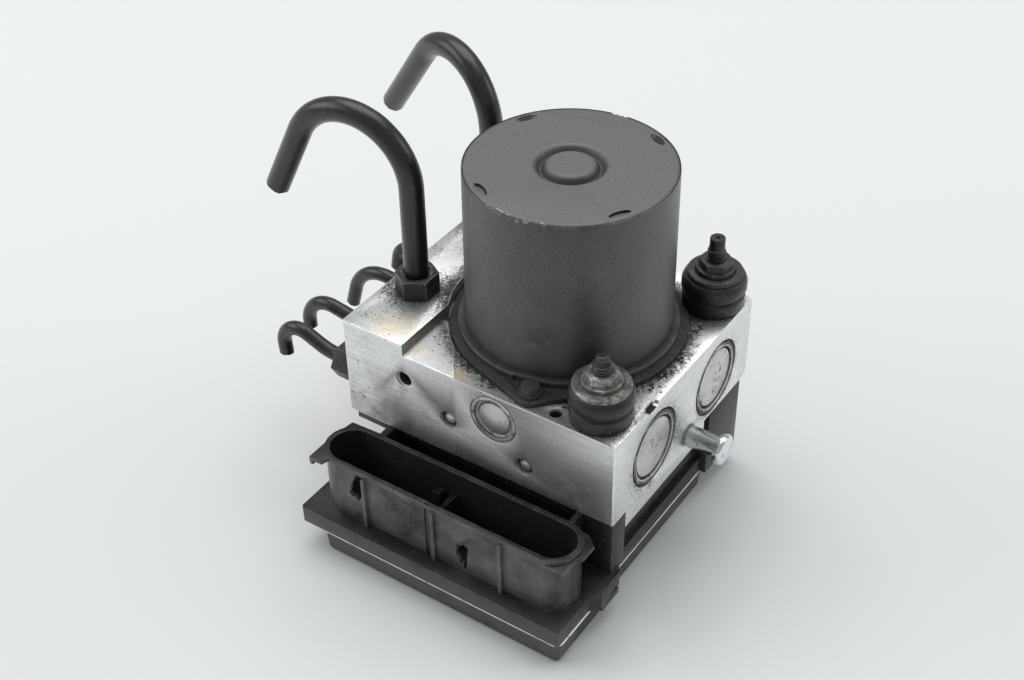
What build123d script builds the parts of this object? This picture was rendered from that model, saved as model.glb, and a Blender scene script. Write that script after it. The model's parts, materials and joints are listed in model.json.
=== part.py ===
from build123d import *
import math
import os

# ABS brake module: valve block with pump motor, fitted on its control unit.
# The row frame has its origin on the motor axis at the bench plane, +Z up,
# +X along the long side of the block away from the brake pipes.

# ---------------------------------------------------------------- driving sizes (mm)
CLEAR = 0.1            # clearance of a seated part in its pocket
RUN = 0.05             # radial running clearance of a shaft or plunger in its bore

# control unit, from the bench up
COVER_H = 8.3          # depth of the cover tray
FRAME_T = 0.7          # aluminium carrier frame clamped between cover and housing
FLANGE_T = 5.6         # housing flange
LEG_H = 19.6           # flange top to block underside
COVER_WALL = 2.0

# valve block
BLOCK_X0 = -54.5
BLOCK_X1 = 41.0
BLOCK_Y0 = -41.2
BLOCK_Y1 = 40.8
BLOCK_H = 30.4
BOSS_DROP = 6.3        # lower land of the block that reaches into the coil chamber
BOSS_X0 = -41.5
BOSS_Y0 = -33.6
BOSS_Y1 = 13.6
PAD_X = -32.2          # edge of the raised port pad
PAD_RISE = 4.4
LAND_RISE = 0.4        # thin machined land between the pad and the motor seat
LAND_TOP_X = -28.4     # land's slanted edge runs from here, near the motor
LAND_TOP_Y = -20.5
LAND_FRONT_X = -13.6   # to here, on the front face
EDGE = 0.4             # deburred block edges
REAR_BEVEL = 2.0       # lower rear edge

# pump motor
CAN_R = 31.3
CAN_TAPER = 0.3
CAN_SIDE_T = 2.1       # side wall, which carries the magnets
CAN_H = 54.2           # end plate top to can top
CAN_WALL = 1.8
CAN_EDGE_R = 1.3
RIM_OUT = 2.3          # rolled rim at the can's foot
RIM_T = 1.8
PLATE_R = 36.0         # end plate
PLATE_T = 1.8
EAR_DIST = 37.2        # screw ears of the end plate
EAR_R = 4.6
EAR_ANGLE = -75.0
SEAT_GAP = 0.7         # room round the end plate where the pad is cut back
PILOT_R = 15.0
PILOT_DEPTH = 4.0
CHAMBER_R = 13.0
CHAMBER_DEPTH = 19.0
DISC_R = 7.4           # raised centre disc of the can's top
DISC_GROOVE_R = 10.2
DISC_GROOVE_D = 1.2
CRIMP_IN = 2.3         # crimp dimples, in from the can's edge
CRIMP_ANGLE = 60.0
CRIMP_D = 0.8

# rotor
SHAFT_R = 3.95
NOSE_R = 2.45          # upper journal
ECC = 0.8              # eccentricity of the pump cam
CAM_R = 5.5
CAM_H = 8.4
RING_R = 8.0           # needle ring on the cam
RING_H = 7.4
STACK_R = 22.4
STACK_H = 20.0
STACK_FOOT = 21.0      # end plate top to underside of the lamination stack
SLOTS = 12
COMM_R = 9.5
COMM_H = 11.0
MAGNET_T = 5.8
MAGNET_H = 26.0
MAGNET_ARC = 130.0
BRUSH_L = 10.0
BRUSH_W = 6.0
BRUSH_H = 5.0
HOLDER_T = 2.0

# motor bearings
LOWER_BEARING_R = 11.0
LOWER_BEARING_H = 7.0
UPPER_BEARING_R = 5.5
UPPER_BEARING_H = 5.0

# return pumps, one each side of the cam along Y
PUMP_DROP = 9.1        # pump axis below the deck
PUMP_BORE_R = 5.0
PLUNGER_R = 3.0
PLUNGER_L = 16.0
PLUNGER_TIP = 9.0      # tip radius at the inner end of the stroke
PUMP_STROKE = 1.6
PLUG_R = 8.2
PLUG_T = 3.4
CYLINDER_FOOT = 14.0   # inner end of the pump cylinder, from the motor axis

# low-pressure accumulators, two round caps on the right face
ACC_DROP = 17.3        # axis below the deck
ACC_Y = (-17.9, 19.5)
ACC_CAP_R = 12.7
ACC_CAP_T = 4.2
ACC_BORE_R = 9.5
ACC_DEPTH = 21.0
ACC_PISTON_L = 8.0
ACC_PISTON_WALL = 1.5
ACC_SPRING_R = 6.6
ACC_WIRE_R = 0.8
ACC_TURNS = 3

# headed steel pin on the right face
PIN_Y = 3.4
PIN_DROP = 28.7        # axis below the deck
PIN_R = 3.5
PIN_OUT = 13.0
PIN_HEAD_R = 4.9
PIN_HEAD_T = 2.6
PIN_IN = 12.0

# mounting studs with rubber bushes
STUD_R = 2.9
STUD_IN = 11.0
STUD_DOG_R = 2.25
STUD_DOG_L = 3.4
BUSH_SPOTS = {"front": (30.7, -31.8, 9.6, 22.3), "rear": (31.9, 31.9, 10.0, 24.3)}
BUSH_LOWER_H = 5.2
BUSH_GROOVE_H = 1.0
BUSH_H = 11.2
BUSH_GROOVE_D = 1.1
SLEEVE_R = 5.0
BUSH_ROOM = 0.3        # scallop of the motor plate round a bush
WASHER_R = 8.6
WASHER_T = 1.5
STUD_NUT_AF = 9.8
STUD_NUT_H = 5.6
STUD_NUT_FLANGE_R = 6.3
STUD_NUT_FLANGE_T = 1.3

# brake pipes
INLET_X = -44.3
INLET_TUBE_R = 3.8
INLET_BORE_R = 2.7
INLET_NUT_AF = 12.0
INLET_NUT_H = 7.0
INLET_PORT_R = 5.2
INLET_PORT_DEPTH = 11.0
INLET_SEAT = 9.0       # depth of the tube's end below the pad
OUTLET_DROP = 18.2     # outlet axes below the deck
OUTLET_TUBE_R = 2.35
OUTLET_BORE_R = 1.5
OUTLET_NUT_AF = 11.0
OUTLET_NUT_H = 7.6
OUTLET_PORT_R = 4.8
OUTLET_PORT_DEPTH = 9.0
OUTLET_SEAT = 7.5      # depth of the tube's end inside the left face
CUT_BORE = 6.0         # open length of tube bore behind a cut end

# solenoid valves, two rows on the boss
VALVE_X0 = -34.0
VALVE_PITCH_X = 19.0
VALVE_Y0 = -21.5
VALVE_PITCH_Y = 23.0
VALVE_R = 4.9
VALVE_IN = 9.0
DOME_R = 3.2
DOME_H = 10.0
COIL_R = 8.2
COIL_H = 10.4

# coil chamber and legs of the housing
CHAMBER_X0 = -44.2
CHAMBER_X1 = 36.8
CHAMBER_Y0 = -37.8
CHAMBER_Y1 = 36.4
CHAMBER_WALL = 2.0
LIP_X0 = -52.4
LIP_T = 3.2
LEG_Y = 7.3            # length of a corner leg along the side
FLANGE_X0 = -53.8
FLANGE_X1 = 40.6
FLANGE_SIDE_X = 38.9   # right edge of the flange behind the lug
FLANGE_Y0 = -69.3
FLANGE_Y1 = 38.4
FLANGE_FLOOR = 2.6
LUG_X = 43.2
LUG_Y0 = -49.8
LUG_Y1 = -38.6
LUG_DROP = 2.2

# connector shroud
SHROUD_X0 = -42.4      # centres of the two round ends
SHROUD_X1 = 30.2
SHROUD_Y = -55.5
SHROUD_R = 8.2
SHROUD_WALL = 1.2
SHROUD_H = 20.6
SHROUD_FLOOR = 3.0
SHROUD_LIP = 0.45      # how far the rim's lip stands out
SHROUD_LIP_H = 1.4
SHROUD_DENT_R = 2.6
GUIDE_T = 1.1          # guide plates below the rim
GUIDE_LEFT_DROP = 0.4
GUIDE_TAB = 1.6        # how far the left plate's tip is turned down
PARTITION_DROP = 9.0   # partition and key below the rim
PIN_TOP = 9.0          # terminal height above the flange

# cover
COVER_X0 = -46.2
COVER_X1 = 40.3
COVER_SIDE_X = 38.4
COVER_Y0 = -68.6
COVER_Y1 = 36.0
COVER_CUT = 15.0       # corners cut back at the rear
COVER_EDGE_R = 2.0
BOARD_T = 1.6
BOARD_Z = 5.0

# ---------------------------------------------------------------- derived heights
FLANGE_Z = COVER_H + FRAME_T
FLANGE_TOP = FLANGE_Z + FLANGE_T
BLOCK_Z = FLANGE_TOP + LEG_H
DECK = BLOCK_Z + BLOCK_H
PAD = DECK + PAD_RISE
BOSS_Z = BLOCK_Z - BOSS_DROP
PLATE_TOP = DECK + PLATE_T
CAN_TOP = PLATE_TOP + CAN_H
PUMP_Z = DECK - PUMP_DROP
ACC_Z = DECK - ACC_DROP
OUTLET_Z = DECK - OUTLET_DROP
PIN_Z = DECK - PIN_DROP
SEAT_R = PLATE_R + SEAT_GAP
CAN_TOP_R = CAN_R - CAN_TAPER
CAN_IN_R = CAN_R - CAN_SIDE_T
RIM_R = CAN_R + RIM_OUT
CRIMP_R = CAN_TOP_R - CRIMP_IN
BLOCK_CX = (BLOCK_X0 + BLOCK_X1) / 2
BLOCK_CY = (BLOCK_Y0 + BLOCK_Y1) / 2
BLOCK_L = BLOCK_X1 - BLOCK_X0
BLOCK_W = BLOCK_Y1 - BLOCK_Y0
EAR_ANGLES = (EAR_ANGLE, EAR_ANGLE + 180.0)
EARS = [(EAR_DIST * math.cos(math.radians(a)), EAR_DIST * math.sin(math.radians(a))) for a in EAR_ANGLES]
OUTLET_Y = (-34.0, -17.0, 5.0, 21.0)
LEAD_R = 1.5
LEAD_DIST = 25.0
LEADS = [(LEAD_DIST * math.cos(math.radians(a)), LEAD_DIST * math.sin(math.radians(a))) for a in (125.0, 150.0)]
VALVES = [(VALVE_X0 + i * VALVE_PITCH_X, VALVE_Y0 + j * VALVE_PITCH_Y) for j in range(2) for i in range(4)]
BOSS_SCREWS = [(VALVE_X0 + 0.5 * VALVE_PITCH_X, VALVE_Y0 + 0.5 * VALVE_PITCH_Y),
               (VALVE_X0 + 2.5 * VALVE_PITCH_X, VALVE_Y0 + 0.5 * VALVE_PITCH_Y)]
REAR_SCREWS = [(-39.5, 31.6), (33.5, 31.6)]
COLUMN_R = 4.6
LEG_X0 = 31.0
LEG_DROP = 2.9         # rear post's foot below the flange
POST_Y0 = 17.4         # rear post, from here to the rear
POST_FOOT = 9.6
POST_R = 2.0
POST_Y1 = BLOCK_Y1 - REAR_BEVEL
RIB_X = (-31.5, -6.3, 17.8)
PARTITION_X = -9.6
COVER_FOOT_R = 1.6
FRAME_PROUD = 0.5
TERMINAL_W = 0.8
BLADE_W = 3.0
RIM_Z = FLANGE_TOP + SHROUD_H
SHROUD_MID = ((SHROUD_X0 + SHROUD_X1) / 2, SHROUD_Y)
SHROUD_FRONT = SHROUD_Y - SHROUD_R
TERMINALS = [(-38.0 + 4.0 * i, SHROUD_Y + j) for i in range(7) for j in (-2.6, 2.6)]
TERMINALS += [(-4.0 + 4.0 * i, SHROUD_Y + j) for i in range(5) for j in (-2.6, 2.6)]
BLADES = [(19.0 + 7.0 * i, SHROUD_Y + j) for i in range(2) for j in (-2.6, 2.6)]
BOARD_POSTS = [(-38.0, -40.0), (30.0, -40.0), (-24.0, 20.0), (18.0, 20.0)]
SCREW_R = 2.4
SCREW_HEAD_R = 4.0
SCREW_HEAD_H = 2.6
SCREW_IN = 8.0

pieces = {}


def right_face(y, z):
    """Plane on the block's right face, normal +X."""
    return Plane(origin=(BLOCK_X1, y, z), x_dir=(0, 1, 0), z_dir=(1, 0, 0))


def left_face(y, z):
    """Plane on the block's left face, normal -X."""
    return Plane(origin=(BLOCK_X0, y, z), x_dir=(0, -1, 0), z_dir=(-1, 0, 0))


def side_face(side, x, z):
    """Plane on the front (side -1) or rear (side +1) face, normal outwards."""
    face_y = BLOCK_Y0 if side < 0 else BLOCK_Y1
    return Plane(origin=(x, face_y, z), x_dir=(-side, 0, 0), z_dir=(0, side, 0))


def section(face):
    """Plane through a face's axis: local X is the radius, local Y points out of the face."""
    return Plane(origin=face.origin, x_dir=face.x_dir, z_dir=-face.y_dir)


# ---------------------------------------------------------------- valve block
BALL_R = 2.9
BALL_IN = 3.4
BALLS = [(-16.3, DECK - 17.1), (10.5, DECK - 22.5)]   # sealed cross drillings, front face
THREAD_X = -32.2                                       # M6 fixing hole, front face
THREAD_Z = DECK - 8.8
THREAD_R = 2.9
THREAD_DEPTH = 10.0
DECK_HOLE = (19.4, -37.6)
NOTCH_Y = -20.6
NOTCH_L = 7.0
NOTCH_D = 1.2

with BuildPart() as valve_block:
    with BuildSketch(Plane.XY.offset(BLOCK_Z)):
        with Locations((BLOCK_CX, BLOCK_CY)):
            Rectangle(BLOCK_L, BLOCK_W)
    extrude(amount=BLOCK_H)
    chamfer(valve_block.edges().filter_by(Axis.X).group_by(Axis.Z)[0].sort_by(Axis.Y)[-1], REAR_BEVEL)
    with BuildSketch(Plane.XY.offset(BOSS_Z)):
        with Locations(((BOSS_X0 + BLOCK_X1) / 2, (BOSS_Y0 + BOSS_Y1) / 2)):
            Rectangle(BLOCK_X1 - BOSS_X0, BOSS_Y1 - BOSS_Y0)
    extrude(amount=BOSS_DROP)
    with BuildSketch(Plane.XY.offset(DECK)):
        with Locations(((BLOCK_X0 + PAD_X) / 2, BLOCK_CY)):
            Rectangle(PAD_X - BLOCK_X0, BLOCK_W)
        Circle(SEAT_R, mode=Mode.SUBTRACT)
    extrude(amount=PAD_RISE)
    with BuildSketch(Plane.XY.offset(DECK)):
        with BuildLine():
            Polyline((PAD_X, BLOCK_Y0), (LAND_FRONT_X, BLOCK_Y0), (LAND_TOP_X, LAND_TOP_Y),
                     (PAD_X, LAND_TOP_Y), close=True)
        make_face()
        Circle(SEAT_R, mode=Mode.SUBTRACT)
    extrude(amount=LAND_RISE)
    with Locations((BLOCK_X1, NOTCH_Y, DECK)):
        Box(2 * NOTCH_D, NOTCH_L, 2 * NOTCH_D, mode=Mode.SUBTRACT)
    # motor pilot and cam chamber
    with Locations((0, 0, DECK)):
        Hole(PILOT_R, PILOT_DEPTH)
        Hole(CHAMBER_R, CHAMBER_DEPTH)
    # pump bores through both long faces
    for side in (-1, 1):
        with Locations(side_face(side, 0, PUMP_Z)):
            Hole(PLUG_R, PLUG_T)
            Hole(PUMP_BORE_R + CLEAR / 2, BLOCK_W / 2)
    # accumulator bores
    for acc_y in ACC_Y:
        with Locations(right_face(acc_y, ACC_Z)):
            Hole(ACC_CAP_R + CLEAR / 2, ACC_CAP_T)
            Hole(ACC_BORE_R, ACC_DEPTH)
    with Locations(right_face(PIN_Y, PIN_Z)):
        Hole(PIN_R, PIN_IN)
    # brake pipe ports
    with Locations((INLET_X, -16.8, PAD), (INLET_X, 24.4, PAD)):
        Hole(INLET_PORT_R, INLET_PORT_DEPTH)
    for port_y in OUTLET_Y:
        with Locations(left_face(port_y, OUTLET_Z)):
            Hole(OUTLET_PORT_R, OUTLET_PORT_DEPTH)
    # studs, motor screws, motor leads
    for bush_x, bush_y, bush_r, stud_out in BUSH_SPOTS.values():
        with Locations((bush_x, bush_y, DECK)):
            Hole(STUD_R, STUD_IN)
    for ear_x, ear_y in EARS:
        with Locations((ear_x, ear_y, DECK)):
            Hole(1.85, 7.0)
    for lead_x, lead_y in LEADS:
        with Locations((lead_x, lead_y, DECK)):
            Hole(LEAD_R + 1.0, BLOCK_H + BOSS_DROP)
    with Locations((DECK_HOLE[0], DECK_HOLE[1], DECK)):
        Hole(1.9, 8.0)
    # front-face holes
    with Locations(side_face(-1, THREAD_X, THREAD_Z)):
        Hole(THREAD_R, THREAD_DEPTH)
    for ball_x, ball_z in BALLS:
        with Locations(side_face(-1, ball_x, ball_z)):
            Hole(BALL_R + CLEAR, BALL_IN + BALL_R)
            Hole(1.5, 16.0)
    # valve seats and housing screws from below
    for valve_x, valve_y in VALVES:
        with Locations(Plane(origin=(valve_x, valve_y, BOSS_Z), z_dir=(0, 0, -1))):
            Hole(VALVE_R + CLEAR / 2, VALVE_IN)
    for screw_x, screw_y in BOSS_SCREWS:
        with Locations(Plane(origin=(screw_x, screw_y, BOSS_Z), z_dir=(0, 0, -1))):
            Hole(SCREW_R + CLEAR / 2, SCREW_IN)
    for screw_x, screw_y in REAR_SCREWS:
        with Locations(Plane(origin=(screw_x, screw_y, BLOCK_Z), z_dir=(0, 0, -1))):
            Hole(SCREW_R + CLEAR / 2, SCREW_IN)
    # deburred upright edges and a bevel under the rear right corner
    upright = valve_block.edges().filter_by(Axis.Z).filter_by(lambda e: e.length > BLOCK_H - EDGE)
    corner_edges = upright.filter_by(lambda e: abs(e.center().Y - BLOCK_CY) > BLOCK_W / 2 - EDGE)
    chamfer(corner_edges, EDGE)
pieces["valve_block"] = valve_block.part


# ---------------------------------------------------------------- steel balls in the cross drillings
with BuildPart() as gallery_balls:
    for ball_x, ball_z in BALLS:
        with Locations(side_face(-1, ball_x, ball_z).offset(-BALL_IN)):
            Sphere(BALL_R)
pieces["gallery_balls"] = gallery_balls.part


# ---------------------------------------------------------------- pump motor, fixed parts
HUB_R = 14.9
HUB_TOP = 2.4

with BuildPart() as motor_end_plate:
    with BuildSketch(Plane.XY.offset(DECK)):
        Circle(PLATE_R)
        with Locations(*EARS):
            Circle(EAR_R)
        make_hull()
        for bush_x, bush_y, bush_r, stud_out in BUSH_SPOTS.values():
            with Locations((bush_x, bush_y)):
                Circle(bush_r + BUSH_ROOM, mode=Mode.SUBTRACT)
    extrude(amount=PLATE_T)
    with Locations((0, 0, DECK - PILOT_DEPTH + CLEAR)):
        Cylinder(HUB_R, PILOT_DEPTH - CLEAR + PLATE_T + HUB_TOP, align=(Align.CENTER, Align.CENTER, Align.MIN))
    with Locations((0, 0, PLATE_TOP + HUB_TOP)):
        Hole(LOWER_BEARING_R, LOWER_BEARING_H)
        Hole(SHAFT_R + 1.5, PILOT_DEPTH + PLATE_T + HUB_TOP)
    for ear_x, ear_y in EARS:
        with Locations((ear_x, ear_y, PLATE_TOP)):
            Hole(2.1, PLATE_T)
    for lead_x, lead_y in LEADS:
        with Locations((lead_x, lead_y, PLATE_TOP)):
            Hole(LEAD_R + 0.6, PLATE_T)
pieces["motor_end_plate"] = motor_end_plate.part

BEARING_TOP = PLATE_TOP + HUB_TOP
with BuildPart() as lower_bearing:
    with Locations((0, 0, BEARING_TOP - LOWER_BEARING_H)):
        Cylinder(LOWER_BEARING_R, LOWER_BEARING_H, align=(Align.CENTER, Align.CENTER, Align.MIN))
    with Locations((0, 0, BEARING_TOP)):
        Hole(SHAFT_R + RUN)
    with BuildSketch(Plane.XY.offset(BEARING_TOP)):
        Circle(LOWER_BEARING_R - 2.0)
        Circle(SHAFT_R + 2.0, mode=Mode.SUBTRACT)
    extrude(amount=-0.5, mode=Mode.SUBTRACT)
pieces["lower_bearing"] = lower_bearing.part

POCKET_R = UPPER_BEARING_R
POCKET_ROOF = 1.5
POCKET_WALL = 1.7
with BuildPart() as motor_can:
    with BuildSketch(Plane.XZ):
        with BuildLine():
            Polyline((CAN_R, PLATE_TOP), (CAN_TOP_R, CAN_TOP), (DISC_GROOVE_R, CAN_TOP),
                     (DISC_GROOVE_R, CAN_TOP - DISC_GROOVE_D), (DISC_R, CAN_TOP - DISC_GROOVE_D),
                     (DISC_R, CAN_TOP), (0, CAN_TOP), (0, CAN_TOP - POCKET_ROOF),
                     (POCKET_R, CAN_TOP - POCKET_ROOF),
                     (POCKET_R, CAN_TOP - POCKET_ROOF - UPPER_BEARING_H),
                     (POCKET_R + POCKET_WALL, CAN_TOP - POCKET_ROOF - UPPER_BEARING_H),
                     (POCKET_R + POCKET_WALL, CAN_TOP - DISC_GROOVE_D - CAN_WALL),
                     (DISC_GROOVE_R + CAN_WALL, CAN_TOP - DISC_GROOVE_D - CAN_WALL),
                     (DISC_GROOVE_R + CAN_WALL, CAN_TOP - CAN_WALL),
                     (CAN_IN_R, CAN_TOP - CAN_WALL),
                     (CAN_IN_R, PLATE_TOP), close=True)
        make_face()
    revolve(axis=Axis.Z)
    with BuildSketch(Plane.XY.offset(PLATE_TOP)):
        Circle(RIM_R)
        Circle(CAN_IN_R, mode=Mode.SUBTRACT)
    extrude(amount=RIM_T)
    top_edge = motor_can.edges().filter_by(GeomType.CIRCLE).filter_by(
        lambda e: abs(e.radius - CAN_TOP_R) < 0.01)
    fillet(top_edge, CAN_EDGE_R)
    rim_edges = motor_can.edges().filter_by(GeomType.CIRCLE).filter_by(lambda e: abs(e.radius - RIM_R) < 0.01)
    fillet(rim_edges.sort_by(Axis.Z)[-1], 0.6)
    with BuildSketch(Plane.XY.offset(CAN_TOP)):
        with PolarLocations(CRIMP_R - 0.6, 4, start_angle=CRIMP_ANGLE):
            Ellipse(1.3, 3.4)
    extrude(amount=-CRIMP_D, mode=Mode.SUBTRACT)
pieces["motor_can"] = motor_can.part

with BuildPart() as upper_bearing:
    with Locations((0, 0, CAN_TOP - POCKET_ROOF - UPPER_BEARING_H)):
        Cylinder(UPPER_BEARING_R - RUN, UPPER_BEARING_H - CLEAR, align=(Align.CENTER, Align.CENTER, Align.MIN))
    with Locations((0, 0, CAN_TOP - POCKET_ROOF)):
        Hole(NOSE_R + RUN)
pieces["upper_bearing"] = upper_bearing.part

STACK_Z = PLATE_TOP + STACK_FOOT
MAGNET_Z = STACK_Z + (STACK_H - MAGNET_H) / 2
with BuildPart() as motor_magnets:
    with BuildSketch(Plane.XY.offset(MAGNET_Z)):
        for start in (90.0 - MAGNET_ARC / 2, 270.0 - MAGNET_ARC / 2):
            with BuildLine():
                outer = CenterArc((0, 0), CAN_IN_R, start, MAGNET_ARC)
                inner = CenterArc((0, 0), CAN_IN_R - MAGNET_T, start, MAGNET_ARC)
                Line(outer @ 0, inner @ 0)
                Line(outer @ 1, inner @ 1)
            make_face()
    extrude(amount=MAGNET_H)
pieces["motor_magnets"] = motor_magnets.part

HOLDER_Z = PLATE_TOP + HUB_TOP + 1.2
BOX_WALL = 0.9
BRUSH_X0 = COMM_R + 0.3
with BuildPart() as brush_holder:
    with BuildSketch(Plane.XY.offset(HOLDER_Z)):
        Circle(CAN_IN_R - CLEAR)
        Circle(COMM_R + 2.0, mode=Mode.SUBTRACT)
    extrude(amount=HOLDER_T)
    for side in (-1, 1):
        box_x = side * (BRUSH_X0 + 2.0 + BRUSH_L / 2)
        with BuildSketch(Plane.XY.offset(HOLDER_Z + HOLDER_T)):
            with Locations((box_x, 0)):
                Rectangle(BRUSH_L, BRUSH_W + 2 * BOX_WALL + 2 * CLEAR)
                Rectangle(BRUSH_L, BRUSH_W + 2 * CLEAR, mode=Mode.SUBTRACT)
        extrude(amount=BRUSH_H + CLEAR)
        with BuildSketch(Plane.XY.offset(HOLDER_Z + HOLDER_T + BRUSH_H + CLEAR)):
            with Locations((box_x, 0)):
                Rectangle(BRUSH_L, BRUSH_W + 2 * BOX_WALL + 2 * CLEAR)
        extrude(amount=BOX_WALL)
    for lead_x, lead_y in LEADS:
        with Locations((lead_x, lead_y, HOLDER_Z)):
            Cylinder(LEAD_R + 1.4, HOLDER_Z - PLATE_TOP, align=(Align.CENTER, Align.CENTER, Align.MAX))
            Cylinder(LEAD_R, 30, mode=Mode.SUBTRACT)
pieces["brush_holder"] = brush_holder.part

with BuildPart() as brushes:
    for side in (-1, 1):
        with Locations((side * (BRUSH_X0 + BRUSH_L / 2), 0, HOLDER_Z + HOLDER_T + BRUSH_H / 2)):
            Box(BRUSH_L, BRUSH_W, BRUSH_H)
pieces["brushes"] = brushes.part

BOARD_TOP = BOARD_Z + BOARD_T
with BuildPart() as motor_leads:
    with Locations(*[(x, y, BOARD_TOP) for x, y in LEADS]):
        Cylinder(LEAD_R - RUN, HOLDER_Z + HOLDER_T + 1.0 - BOARD_TOP, align=(Align.CENTER, Align.CENTER, Align.MIN))
pieces["motor_leads"] = motor_leads.part

with BuildPart() as motor_screws:
    with Locations(*[(x, y, PLATE_TOP) for x, y in EARS]):
        Cylinder(3.4, 1.0, align=(Align.CENTER, Align.CENTER, Align.MIN))
        Cylinder(1.8, PLATE_T + 6.0, align=(Align.CENTER, Align.CENTER, Align.MAX))
    with BuildSketch(Plane.XY.offset(PLATE_TOP + 1.0)):
        with Locations(*EARS):
            RegularPolygon(2.6, 6, major_radius=False)
    extrude(amount=2.0)
pieces["motor_screws"] = motor_screws.part

# ---------------------------------------------------------------- rotor
CAM_Z = PUMP_Z - CAM_H / 2
SHAFT_TOP = CAN_TOP - POCKET_ROOF - 0.6
NOSE_Z = CAN_TOP - POCKET_ROOF - UPPER_BEARING_H - 0.8
with BuildPart() as rotor_shaft:
    with Locations((ECC, 0, CAM_Z)):
        Cylinder(CAM_R, CAM_H, align=(Align.CENTER, Align.CENTER, Align.MIN))
    with Locations((0, 0, CAM_Z)):
        Cylinder(SHAFT_R, NOSE_Z - CAM_Z, align=(Align.CENTER, Align.CENTER, Align.MIN))
    with Locations((0, 0, NOSE_Z)):
        Cylinder(NOSE_R, SHAFT_TOP - NOSE_Z, align=(Align.CENTER, Align.CENTER, Align.MIN))
    chamfer(rotor_shaft.faces().sort_by(Axis.Z)[-1].edges(), 0.5)
pieces["rotor_shaft"] = rotor_shaft.part

SLOT_L = 7.0
SLOT_W = 3.4
SLOT_DIST = 14.5
with BuildPart() as armature:
    with BuildSketch(Plane.XY.offset(STACK_Z)):
        Circle(STACK_R)
        Circle(SHAFT_R, mode=Mode.SUBTRACT)
        with PolarLocations(SLOT_DIST, SLOTS):
            Rectangle(SLOT_L, SLOT_W, mode=Mode.SUBTRACT)
        with PolarLocations(STACK_R, SLOTS):
            Rectangle(2 * (STACK_R - SLOT_DIST), 1.4, mode=Mode.SUBTRACT)
    extrude(amount=STACK_H)
pieces["armature"] = armature.part

BULGE_R = 18.4
BULGE_IN_R = 10.4
BULGE_H = 5.0
with BuildPart() as armature_winding:
    with BuildSketch(Plane.XY.offset(STACK_Z)):
        with PolarLocations(SLOT_DIST, SLOTS):
            Rectangle(SLOT_L - CLEAR, SLOT_W - CLEAR)
    extrude(amount=STACK_H)
    for base in (STACK_Z - BULGE_H, STACK_Z + STACK_H):
        with BuildSketch(Plane.XY.offset(base)):
            Circle(BULGE_R)
            Circle(BULGE_IN_R, mode=Mode.SUBTRACT)
        extrude(amount=BULGE_H)
    outer_rims = armature_winding.edges().filter_by(GeomType.CIRCLE).filter_by(lambda e: e.radius > BULGE_R - 0.1)
    chamfer([outer_rims.sort_by(Axis.Z)[0], outer_rims.sort_by(Axis.Z)[-1]], 1.6)
pieces["armature_winding"] = armature_winding.part

COMM_Z = HOLDER_Z - 0.4
SEGMENTS = 16
with BuildPart() as commutator:
    with BuildSketch(Plane.XY.offset(COMM_Z)):
        Circle(COMM_R)
        Circle(SHAFT_R, mode=Mode.SUBTRACT)
    extrude(amount=COMM_H)
    with BuildSketch(Plane.XY.offset(COMM_Z)):
        with PolarLocations(COMM_R, SEGMENTS):
            Rectangle(1.2, 0.5)
    extrude(amount=COMM_H, mode=Mode.SUBTRACT)
pieces["commutator"] = commutator.part

with BuildPart() as cam_ring:
    with BuildSketch(Plane.XY.offset(PUMP_Z - RING_H / 2)):
        with Locations((ECC, 0)):
            Circle(RING_R)
            Circle(CAM_R + RUN, mode=Mode.SUBTRACT)
    extrude(amount=RING_H)
    chamfer(cam_ring.edges().filter_by(GeomType.CIRCLE).filter_by(lambda e: abs(e.radius - RING_R) < 0.01), 0.4)
pieces["cam_ring"] = cam_ring.part


# ---------------------------------------------------------------- return pumps
def coil_spring(plane, length, mean_r, wire_r, turns):
    """Compression spring standing on plane, its ends inside the length."""
    with BuildPart() as spring:
        with BuildLine() as wire_path:
            Helix(pitch=(length - 2 * wire_r) / turns, height=length - 2 * wire_r, radius=mean_r,
                  center=plane.offset(wire_r).origin, direction=plane.z_dir)
        with BuildSketch(Plane(origin=wire_path.line @ 0, z_dir=wire_path.line % 0)):
            RegularPolygon(wire_r, 4)
        sweep(is_frenet=True)
    return spring.part


CYLINDER_END = PLUG_T          # the cylinder starts behind the plug
PUMP_WIRE_R = 0.4
PUMP_TURNS = 4
PUMP_SPRING_R = 2.3
for side, word in ((-1, "front"), (1, "rear")):
    face = side_face(side, 0, PUMP_Z)
    face_y = abs(face.origin.Y)
    plunger_end = face_y - PLUNGER_TIP - PLUNGER_L       # depth of the plunger's outer end
    with BuildPart() as pump_plug:
        with BuildSketch(section(face)):
            with BuildLine():
                Polyline((0, -0.1), (4.6, -0.4), (5.6, -0.9), (6.4, -0.9), (6.7, 0), (PLUG_R, 0),
                         (PLUG_R, -PLUG_T), (0, -PLUG_T), close=True)
            make_face()
        revolve(axis=Axis(face.origin, face.z_dir))
    pieces["pump_plug_" + word] = pump_plug.part
    with BuildPart() as pump_plunger:
        with BuildSketch(face.offset(-plunger_end)):
            Circle(PLUNGER_R)
        extrude(amount=-PLUNGER_L)
        chamfer(pump_plunger.edges().filter_by(GeomType.CIRCLE), 0.4)
    pieces["pump_plunger_" + word] = pump_plunger.part
    pieces["pump_spring_" + word] = coil_spring(
        face.offset(-plunger_end), plunger_end - CYLINDER_END, PUMP_SPRING_R, PUMP_WIRE_R, PUMP_TURNS)

with BuildPart() as pump_cylinders:
    for side in (-1, 1):
        face = side_face(side, 0, PUMP_Z)
        with BuildSketch(face.offset(-CYLINDER_END)):
            Circle(PUMP_BORE_R)
            Circle(PLUNGER_R + RUN, mode=Mode.SUBTRACT)
        extrude(amount=-(abs(face.origin.Y) - CYLINDER_END - CYLINDER_FOOT))
pieces["pump_cylinders"] = pump_cylinders.part

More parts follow.
